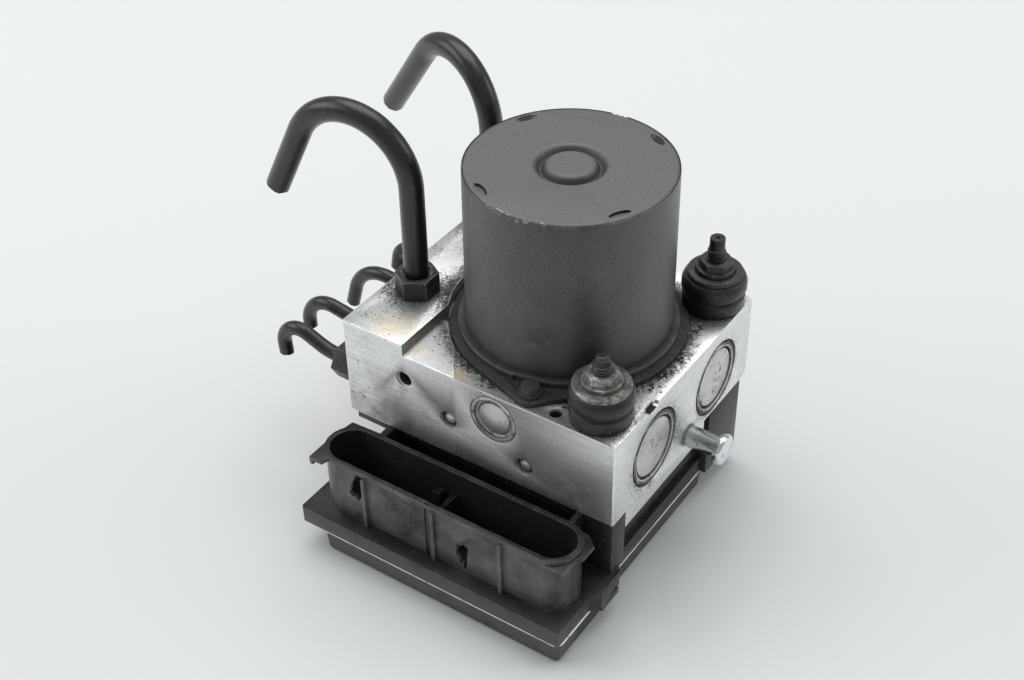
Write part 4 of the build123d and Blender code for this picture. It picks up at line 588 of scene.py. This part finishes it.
def rusty_steel():
    f = Finish("rusted screw steel, dirty", (0.032, 0.027, 0.023), 0.66, 0.25)
    f.layer(f.patches(500.0, 7.0, 0.42, 0.62), (0.030, 0.025, 0.021), 0.8, 0.0)
    f.layer(f.specks(1000.0, 0.6, 0.2), (0.12, 0.10, 0.085), 0.7, 0.1, cover=0.6)
    f.layer(f.worn_edge(0.0004, 0.38), (0.15, 0.135, 0.12), 0.5, 0.6, cover=0.5)
    f.relief(f.patches(1100.0, 6.0, 0.3, 0.7), 0.1, 0.9)
    return f.done()


def bright_sheet():
    f = Finish("bright aluminium sheet edge", (0.84, 0.84, 0.83), 0.45, 0.35)
    f.layer(f.patches(200.0, 7.0, 0.50, 0.68), (0.40, 0.40, 0.39), 0.5, cover=0.7)
    f.layer(f.specks(900.0, 0.6, 0.25), (0.06, 0.06, 0.06), 0.6, 0.2, cover=0.8)
    return f.done()


def plate_steel():
    f = Finish("motor plate, caked with dirt", (0.026, 0.025, 0.024), 0.52, 0.35)
    f.layer(f.patches(170.0, 8.0, 0.40, 0.62), (0.018, 0.016, 0.014), 0.8, 0.0)
    f.layer(f.patches(330.0, 8.0, 0.56, 0.66), (0.058, 0.050, 0.043), 0.8, 0.0, cover=0.5)
    f.layer(f.grime(1200.0, 0.15), (0.14, 0.13, 0.115), 0.8, 0.0, cover=0.6)
    f.layer(f.worn_edge(0.0004, 0.42), (0.22, 0.21, 0.20), 0.4, 0.6, cover=0.6)
    f.relief(f.patches(600.0, 7.0, 0.3, 0.7), 0.25, 0.9)
    return f.done()


def dry_dirt():
    f = Finish("dry black dirt", (0.030, 0.026, 0.022), 0.9, 0.0, 0.3)
    f.layer(f.patches(700.0, 6.0, 0.42, 0.64), (0.070, 0.056, 0.043))
    f.relief(f.patches(2600.0, 4.0, 0.3, 0.7), 0.12, 1.0)
    return f.done()


def plain(name, color, rough, metal, specular=0.5):
    """Quiet finish for the inner pieces: colour, uneven patches and a fine grain."""
    f = Finish(name, color, rough, metal, specular)
    f.layer(f.patches(150.0, 6.0, 0.4, 0.7), tuple(c * 0.72 for c in color), min(rough + 0.12, 1.0))
    f.layer(f.specks(800.0, 0.4, 0.12), tuple(c * 0.35 for c in color), 0.7, cover=0.5)
    f.relief(f.patches(900.0, 4.0, 0.3, 0.7), 0.05, 0.6)
    return f.done()


CAP_RINGS = [((0, y, CAP_HEIGHT), radius, half, SIDE) for y in CAP_CENTRES
             for radius, half in ((11.35, 0.85), (12.75, 0.5))]
PLUG_RINGS = [((0, 0, PLUG_HEIGHT), radius, half, END)
              for radius, half in ((5.5, 0.4), (6.7, 0.25), (8.0, 0.45))]
FINISHES = {
    "block_aluminium": milled_aluminium(),
    "cap_aluminium": turned_aluminium(rings=CAP_RINGS, caked=[(0, CAP_CENTRES[0], CAP_HEIGHT)]),
    "plug_steel": turned_aluminium("turned plug metal", (0.47, 0.47, 0.46), PLUG_RINGS),
    "motor_can_finish": motor_finish(), "housing_plastic": moulded_plastic(), "bush_rubber": bush_rubber(),
    "coated_pipe": pipe_coating(), "dark_steel": corroded_steel(), "worn_steel": worn_steel(),
    "stud_steel": stud_steel(), "zinc_plated_steel": plated_steel(), "rusty_steel": rusty_steel(),
    "seam_aluminium": bright_sheet(), "motor_plate_steel": plate_steel(),
    "bare_steel": turned_aluminium("bright ball steel, staked", (0.58, 0.58, 0.57)),
    "bearing_steel": plain("ground bearing steel", (0.58, 0.58, 0.58), 0.22, 1.0),
    "shaft_steel": plain("ground shaft steel", (0.56, 0.56, 0.57), 0.25, 1.0),
    "spring_steel": plain("drawn spring wire", (0.36, 0.36, 0.37), 0.33, 1.0),
    "lamination_steel": plain("stamped lamination steel", (0.30, 0.30, 0.31), 0.45, 0.9),
    "magnet_ferrite": plain("sintered ferrite", (0.05, 0.05, 0.052), 0.6, 0.1),
    "dark_plastic": plain("dark moulded bobbin plastic", (0.03, 0.03, 0.032), 0.5, 0.0),
    "carbon": plain("pressed carbon", (0.035, 0.035, 0.035), 0.7, 0.0),
    "copper": plain("enamelled copper", (0.50, 0.20, 0.09), 0.35, 0.9),
    "seal_rubber": plain("seal rubber", (0.012, 0.012, 0.012), 0.6, 0.0),
    "board_laminate": plain("green board laminate", (0.02, 0.10, 0.05), 0.4, 0.0),
    # painted shade: the connector's pins deep in the socket are near black and dull
    "pins in painted shade": plain("connector pins in painted shade", (0.003, 0.003, 0.003), 0.95, 0.0, specular=0.05),
    "tinned_copper": plain("dulled terminal metal", (0.10, 0.095, 0.085), 0.5, 0.8),
}
SLOT = {s["node"]: s["material_slot"] for s in frame["record"]["subparts"]}
for name, piece in nodes.items():
    piece.data.materials.clear()
    piece.data.materials.append(FINISHES["pins in painted shade" if name == "connector_pins" else SLOT[name]])
    for polygon in piece.data.polygons:
        polygon.material_index = 0


# ------------------------------------------------------------------ tools of the bench
def deselect():
    bpy.ops.object.select_all(action="DESELECT")


def take(piece, *others):
    """Selects a piece, alone or with others, and makes it the active one."""
    deselect()
    for one in (piece, *others):
        one.select_set(True)
    bpy.context.view_layer.objects.active = piece


def edit(piece):
    """Takes one piece alone and opens it in edit mode."""
    take(piece)
    bpy.ops.object.mode_set(mode="EDIT")


def leave():
    bpy.ops.object.mode_set(mode="OBJECT")


def pick_all():
    bpy.ops.mesh.select_all(action="SELECT")


def face_outwards():
    """In edit mode, turns all faces outwards."""
    pick_all()
    bpy.ops.mesh.normals_make_consistent(inside=False)


def smooth(degrees):
    """Shades the taken piece smooth, up to an angle."""
    bpy.ops.object.shade_smooth_by_angle(angle=math.radians(degrees))


def show(name, data):
    """Puts a mesh, lamp or camera in the scene as a new object."""
    piece = bpy.data.objects.new(name, data)
    bpy.context.scene.collection.objects.link(piece)
    return piece


def pick(piece, test, kind="VERT"):
    """In edit mode, selects the points, edges or faces all of whose points pass a test of their place."""
    bpy.ops.mesh.select_mode(type=kind)
    bpy.ops.mesh.select_all(action="DESELECT")
    work = bmesh.from_edit_mesh(piece.data)
    items = {"VERT": work.verts, "EDGE": work.edges, "FACE": work.faces}[kind]
    for item in items:
        points = [item] if kind == "VERT" else item.verts
        if all(test(p.co) for p in points):
            item.select_set(True)
    bmesh.update_edit_mesh(piece.data)


def apply(piece, modifier):
    take(piece)
    bpy.ops.object.modifier_apply(modifier=modifier.name)


def settle(piece, body, slot, replaced=(), angle=28.0):
    """Gives a new piece its place in its own mesh, its smooth shading, finish, body and slot."""
    take(piece)
    bpy.ops.object.transform_apply(location=True, rotation=True, scale=True)
    smooth(angle)
    piece.data.materials.clear()
    piece.data.materials.append(FINISHES.get(slot) or slot)
    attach(piece, body)
    if replaced:
        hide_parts(*replaced)
    return piece


# ------------------------------------------------------------------ dressed CAD pieces
SHARP = 32.0        # degrees: flatter edges than this are shaded round and not bevelled


def dress(name, bevel=0.0):
    """A copy of a CAD piece with merged points, clean faces, rounded edges and smooth curves."""
    mesh = nodes[name].data.copy()
    work = bmesh.new()
    work.from_mesh(mesh)
    bmesh.ops.remove_doubles(work, verts=work.verts, dist=2e-6)
    bmesh.ops.dissolve_limit(work, angle_limit=math.radians(0.6), verts=work.verts, edges=work.edges)
    work.to_mesh(mesh)
    work.free()
    piece = show(name + "_finished", mesh)
    take(piece)
    if bevel > 0:
        rounding = piece.modifiers.new("rounding", "BEVEL")
        rounding.width = bevel
        rounding.segments = 2
        rounding.limit_method = "ANGLE"
        rounding.angle_limit = math.radians(SHARP)
        rounding.use_clamp_overlap = True
        rounding.harden_normals = False
        apply(piece, rounding)
    smooth(SHARP)
    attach(piece, body_of_node[name])
    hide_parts(name)
    return piece


# widths in millimetres of the edges rounded over
ROUNDED = {
    "valve_block": 0.22, "motor_can": 0, "motor_end_plate": 0.2, "ecu_housing": 0.25, "ecu_cover": 0,
    "rubber_bush_front": 0.3, "rubber_bush_rear": 0.3, "stud_washers": 0.45, "stud_nuts": 0.2,
    "inlet_nut_front": 0.25, "inlet_nut_rear": 0.25, "outlet_nuts": 0.2, "headed_pin": 0.3,
    "accumulator_cap_front": 0.1, "accumulator_cap_rear": 0.1, "pump_plug_front": 0.1, "pump_plug_rear": 0.1,
    "motor_screws": 0.2, "inlet_pipe_front": 0, "inlet_pipe_rear": 0, "outlet_pipe_1": 0, "outlet_pipe_2": 0,
    "outlet_pipe_3": 0, "outlet_pipe_4": 0, "gallery_balls": 0, "carrier_frame": 0.1,
}
finished = {name: dress(name, width * MM) for name, width in ROUNDED.items()}

# ------------------------------------------------------------------ springs, each a dressed copy with a mesh of its own
# the travel in each row is its joint's travel and a hair more, towards its fixed end
SPRINGS = (("pump_spring_front", "plunger_front_slide", 1, -1.62),
           ("pump_spring_rear", "plunger_rear_slide", 1, 1.62),
           ("accumulator_spring_front", "piston_front_slide", 0, 5.02),
           ("accumulator_spring_rear", "piston_rear_slide", 0, 5.02))
for name, joint, axis, travel in SPRINGS:
    spring = dress(name)
    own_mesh(spring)

# ------------------------------------------------------------------ motor can: drawn top and broken rim
def reach(p):
    return math.hypot(p.x, p.y) / MM


def at(p, radius, height, slack=0.06):
    return abs(reach(p) - radius) < slack and abs(p.z / MM - height) < slack


can = finished["motor_can"]
edit(can)
# the groove's outer radius, its inner radius at the disc, its depth, and how much deeper it is pressed
GROOVE, DISC, DEPTH, DEEPER = 10.2, 7.4, 1.2, 0.75
for radius, height, wanted, lift in ((GROOVE, 0.0, 10.7, 0.0), (GROOVE, -DEPTH, 9.0, -DEEPER),
                                     (DISC, -DEPTH, 8.35, -DEEPER), (DISC, 0.0, 6.9, 0.2)):
    pick(can, lambda p: at(p, radius, CAN_TOP_MM + height))
    bpy.ops.transform.resize(value=(wanted / radius, wanted / radius, 1), center_override=(0, 0, 0))
    bpy.ops.transform.translate(value=(0, 0, lift * MM))
for radius, height, width in ((10.7, 0.0, 0.7), (6.9, 0.2, 0.75), (9.0, -DEPTH - DEEPER, 0.28),
                              (8.35, -DEPTH - DEEPER, 0.28)):
    pick(can, lambda p: at(p, radius, CAN_TOP_MM + height), "EDGE")
    bpy.ops.mesh.bevel(offset=width * MM, segments=3, affect="EDGES", clamp_overlap=True)
# the crimp dimples run out towards the can's edge
pick(can, lambda p: reach(p) > 28.3 and abs(p.z / MM - CAN_TOP_MM + 0.8) < 0.05)
bpy.ops.transform.translate(value=(0, 0, 0.62 * MM))
# two rings hold the straight wall's shading flat between the roundings
for height in (4.6, 54.0):
    pick_all()
    bpy.ops.mesh.bisect(plane_co=(0, 0, (DECK_MM + height) * MM), plane_no=(0, 0, 1))
leave()
# a bite is broken out of the foot's rim at the front
deselect()
bpy.ops.mesh.primitive_cube_add(size=1.0, location=(5.4 * MM, -33.9 * MM, (DECK_MM + 3.6) * MM),
                                rotation=(0, 0, math.radians(10.0)))
notch = bpy.context.active_object
notch.scale = (5.6 * MM, 2.6 * MM, 9.0 * MM)
cut = can.modifiers.new("broken rim", "BOOLEAN")
cut.operation = "DIFFERENCE"
cut.solver = "EXACT"
cut.object = notch
apply(can, cut)
bpy.data.objects.remove(notch)
take(can)
smooth(SHARP)

# ------------------------------------------------------------------ nuts pulled down low on the washers
nuts = finished["stud_nuts"]
NUT_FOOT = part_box("stud_nuts")[0].z / MM
edit(nuts)
for x, y in BUSHES:
    pick(nuts, lambda p: math.hypot(p.x - x * MM, p.y - y * MM) < 8 * MM and p.z / MM > NUT_FOOT + 1.25)
    bpy.ops.transform.resize(value=(0.93, 0.93, 1), center_override=(x * MM, y * MM, 0))
pick(nuts, lambda p: p.z / MM > NUT_FOOT + 3.2)
bpy.ops.transform.translate(value=(0, 0, -1.7 * MM))
leave()


# ------------------------------------------------------------------ threads
PITCH, ROOT = 1.0, 2.2      # in millimetres: pitch of the threads, and the studs' radius at the root


def thread(name, outline, turns, closed):
    """One turn's outline, as (radius, height) pairs, wound up into a screw thread about the Z axis."""
    deselect()
    bpy.ops.mesh.primitive_plane_add(size=2 * MM)
    piece = bpy.context.active_object
    piece.name = name
    edit(piece)
    bpy.ops.mesh.delete(type="ONLY_FACE")
    if not closed:
        pick(piece, lambda p: p.x < 0, "EDGE")
        bpy.ops.mesh.delete(type="EDGE")
    work = bmesh.from_edit_mesh(piece.data)
    point = next(v for v in work.verts if closed or len(v.link_edges) == 1)
    chain = []
    while point is not None:
        chain.append(point)
        point = next((e.other_vert(point) for e in point.link_edges if e.other_vert(point) not in chain),
                     None)
    for point, (radius, height) in zip(chain, outline):
        point.co = (radius * MM, 0, height * MM)
    bmesh.update_edit_mesh(piece.data)
    leave()
    wind = piece.modifiers.new("thread", "SCREW")
    wind.screw_offset = PITCH * MM
    wind.iterations = turns
    wind.steps = wind.render_steps = 40
    wind.use_merge_vertices = True
    wind.merge_threshold = 1e-6
    apply(piece, wind)
    return piece


def threaded_stud(name, tip_r, tip_h, dome, top_r):
    """Stud with a rolled thread, cut square at both ends, and a plain nose with a centre hole."""
    low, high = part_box(name)
    length = (high.z - low.z) / MM - tip_h
    outline = ((ROOT, 0), (top_r, 0.42), (top_r, 0.58), (ROOT, PITCH))
    stud = thread(name + "_threaded", outline, math.ceil(length) + 3, False)
    foot, head = 1.2, 1.2 + length        # cut within full turns of the thread
    edit(stud)
    for height, normal in ((foot, -1), (head, 1)):
        pick_all()
        bpy.ops.mesh.bisect(plane_co=(0, 0, height * MM), plane_no=(0, 0, normal), use_fill=True,
                            clear_outer=True)
    pick(stud, lambda p: p.z / MM > head - 0.7 and reach(p) > tip_r + 0.1)
    bpy.ops.transform.resize(value=(0.9, 0.9, 1), center_override=(0, 0, 0))
    leave()
    deselect()
    bpy.ops.mesh.primitive_cylinder_add(vertices=40, radius=tip_r * MM, depth=(tip_h + 1.0) * MM,
                                        location=(0, 0, (head + (tip_h - 1.0) / 2) * MM))
    nose = bpy.context.active_object
    edit(nose)
    top = (tip_h + 1.0) / 2
    pick(nose, lambda p: abs(p.z / MM - top) < 0.01, "EDGE")
    bpy.ops.mesh.bevel(offset=dome * MM, segments=4, affect="EDGES")
    pick(nose, lambda p: abs(p.z / MM - top) < 0.01, "FACE")
    bpy.ops.mesh.inset(thickness=(tip_r - dome - 0.75) * MM)
    bpy.ops.mesh.extrude_region_move(TRANSFORM_OT_translate={"value": (0, 0, -0.7 * MM)})
    bpy.ops.transform.resize(value=(0.4, 0.4, 1))
    leave()
    take(stud, nose)
    bpy.ops.object.join()
    edit(stud)
    face_outwards()
    leave()
    stud.location = ((low.x + high.x) / 2, (low.y + high.y) / 2, low.z - foot * MM)
    return settle(stud, body_of_node[name], "stud_steel", (name,))


# nose radius and height, rounding of the nose, and radius over the thread
threaded_stud("mounting_stud_front", 2.0, 2.2, 0.8, 2.75)
threaded_stud("mounting_stud_rear", 2.35, 3.6, 0.35, 2.8)

fixing_thread = thread("fixing_hole_thread", ((2.96, 0.02), (2.42, 0.44), (2.42, 0.56), (2.96, 0.98)), 9,
                       True)
edit(fixing_thread)
pick_all()
bpy.ops.mesh.fill_holes(sides=4)
face_outwards()
leave()
fixing_thread.rotation_euler = (math.radians(-90), 0, 0)
fixing_thread.location = (FIXING_HOLE[0] * MM, BLOCK_LOW.y + 0.1 * MM, FIXING_HOLE[1] * MM)
settle(fixing_thread, "module", "block_aluminium")

# ------------------------------------------------------------------ snipped ends of the pipes
# each free end's centre, the way out of it, and the pipe's radius
CUTS = {"inlet_pipe_front": ((-94.33, -20.30, 91.58), (-0.437, -0.031, -0.899), 3.8),
        "inlet_pipe_rear": ((-98.62, 44.17, 88.50), (-0.579, 0.211, -0.788), 3.8),
        "outlet_pipe_1": ((-86.13, -34.0, 37.71), (0.070, 0, -0.998), 2.35),
        "outlet_pipe_2": ((-90.52, -17.0, 35.59), (0.017, 0, -1.0), 2.35),
        "outlet_pipe_3": ((-90.45, 5.0, 31.32), (-0.269, 0, -0.963), 2.35),
        "outlet_pipe_4": ((-82.89, 21.0, 39.30), (-0.174, 0, -0.985), 2.35)}
for number, (name, (end, way, radius)) in enumerate(CUTS.items()):
    piece, end, way = finished[name], Vector(end) * MM, Vector(way).normalized()
    edit(piece)
    pick(piece, lambda p: abs((p - end).dot(way)) < 0.05 * MM and (p - end).length < (radius + 0.3) * MM)
    # the cut slopes, and its edge is torn by the snips
    work = bmesh.from_edit_mesh(piece.data)
    rough_edge = random.Random(30 + number)
    slope = way.orthogonal().normalized()
    for point in work.verts:
        if point.select:
            side = (point.co - end).dot(slope) / (radius * MM)
            point.co -= way * (0.35 + 0.30 * side + rough_edge.uniform(0.0, 0.45)) * MM
    bmesh.update_edit_mesh(piece.data)
    leave()

# ------------------------------------------------------------------ crumbs of dirt on the deck
grit = dry_dirt()
deselect()
bpy.ops.mesh.primitive_ico_sphere_add(subdivisions=2, radius=1.0 * MM)
crumb = bpy.context.active_object
edit(crumb)
pick_all()
bpy.ops.transform.vertex_random(offset=0.38 * MM, seed=5)
bpy.ops.transform.resize(value=(1.0, 0.72, 0.5))
leave()
scatter = random.Random(11)
# heaps: place along X and Y, and spread
HEAPS = ((35.6, -13.2, 1.6), (36.6, -7.0, 1.3), (37.0, 3.0, 1.2), (22.5, -35.0, 1.8),
         (8.5, -38.9, 1.2), (-4.0, -38.2, 1.5), (-15.0, -34.2, 1.6), (34.5, 17.5, 1.4))
# places the crumbs keep clear of, and how far
CLEAR = [(bush, 10.9) for bush in BUSHES] + [(BLIND_HOLE, 2.4), ((0, 0), 35.9)]
crumbs = []
for heap_x, heap_y, spread in HEAPS:
    for count in range(22):
        x, y, size = scatter.gauss(heap_x, spread), scatter.gauss(heap_y, spread), scatter.uniform(0.14, 0.50)
        on_deck = x < RIGHT_MM - 1.0 and y > FRONT_MM + 0.8
        if not (on_deck and all(math.hypot(x - px, y - py) > gap for (px, py), gap in CLEAR)):
            continue
        made = show("crumb", crumb.data.copy())
        made.location = (x * MM, y * MM, DECK + size * 0.3 * MM)
        made.rotation_euler = (0, 0, scatter.uniform(0, 6.28))
        made.scale = (size, size, size)
        crumbs.append(made)
bpy.data.objects.remove(crumb)
take(*crumbs)
bpy.ops.object.join()
crumbs[0].name = "deck_crumbs"
settle(crumbs[0], "module", grit, (), 60.0)

# ------------------------------------------------------------------ stage, light and camera
floor_paint = bpy.data.materials.new("pale studio floor")
floor_paint.use_nodes = True
tree = floor_paint.node_tree
surface = tree.nodes["Principled BSDF"]
surface.inputs["Roughness"].default_value = 0.85
surface.inputs["Specular IOR Level"].default_value = 0.1
seen = node(tree, "ShaderNodeLightPath")
tone = node(tree, "ShaderNodeMix", [(0, seen.outputs["Is Camera Ray"])], p_data_type="RGBA")
tone.inputs[6].default_value = (0.86, 0.88, 0.87, 1)
tone.inputs[7].default_value = (0.605, 0.615, 0.605, 1)
tree.links.new(tone.outputs[2], surface.inputs["Base Color"])
deselect()
bpy.ops.mesh.primitive_plane_add(size=8.0, location=(0, 0, 0))
floor = bpy.context.active_object
floor.name = "studio_floor"
floor.data.materials.append(floor_paint)

world = bpy.data.worlds.new("soft room")
bpy.context.scene.world = world
world.use_nodes = True
background = world.node_tree.nodes["Background"]
background.inputs[0].default_value = (0.93, 0.97, 1.0, 1)
background.inputs[1].default_value = 0.55


def softbox(name, place, aim, size, power):
    data = bpy.data.lights.new(name, "AREA")
    data.shape = "RECTANGLE"
    data.size, data.size_y = size
    data.energy = power
    lamp = show(name, data)
    lamp.location = place
    lamp.rotation_euler = (Vector(aim) - Vector(place)).to_track_quat("-Z", "Y").to_euler()


softbox("overhead softbox", (-0.25, 0.35, 1.25), (0, 0, 0.05), (1.3, 1.0), 14.0)
softbox("left softbox", (-1.1, -0.55, 0.75), (0, 0, 0.06), (0.9, 0.7), 6.0)
softbox("right softbox", (0.9, 0.7, 0.7), (0, 0, 0.06), (0.6, 0.6), 3.0)

EYE = Vector((0.198476, -0.318818, 0.292953 + DECK))
AZIMUTH, ELEVATION, ROLL = math.radians(34.56), math.radians(38.63), math.radians(-1.02)
forward = Vector((-math.sin(AZIMUTH) * math.cos(ELEVATION), math.cos(AZIMUTH) * math.cos(ELEVATION),
                  -math.sin(ELEVATION)))
level = Vector((math.cos(AZIMUTH), math.sin(AZIMUTH), 0))
upright = level.cross(forward)
right = level * math.cos(ROLL) + upright * math.sin(ROLL)
up = upright * math.cos(ROLL) - level * math.sin(ROLL)
camera_data = bpy.data.cameras.new("camera")
camera_data.sensor_width = 36.0
camera_data.lens = 55.27
camera_data.clip_start = 0.01
camera = show("camera", camera_data)
turn = Matrix((right, up, -forward)).transposed().to_4x4()
camera.matrix_world = Matrix.Translation(EYE) @ turn
bpy.context.scene.camera = camera
bpy.context.scene.view_settings.view_transform = "Standard"
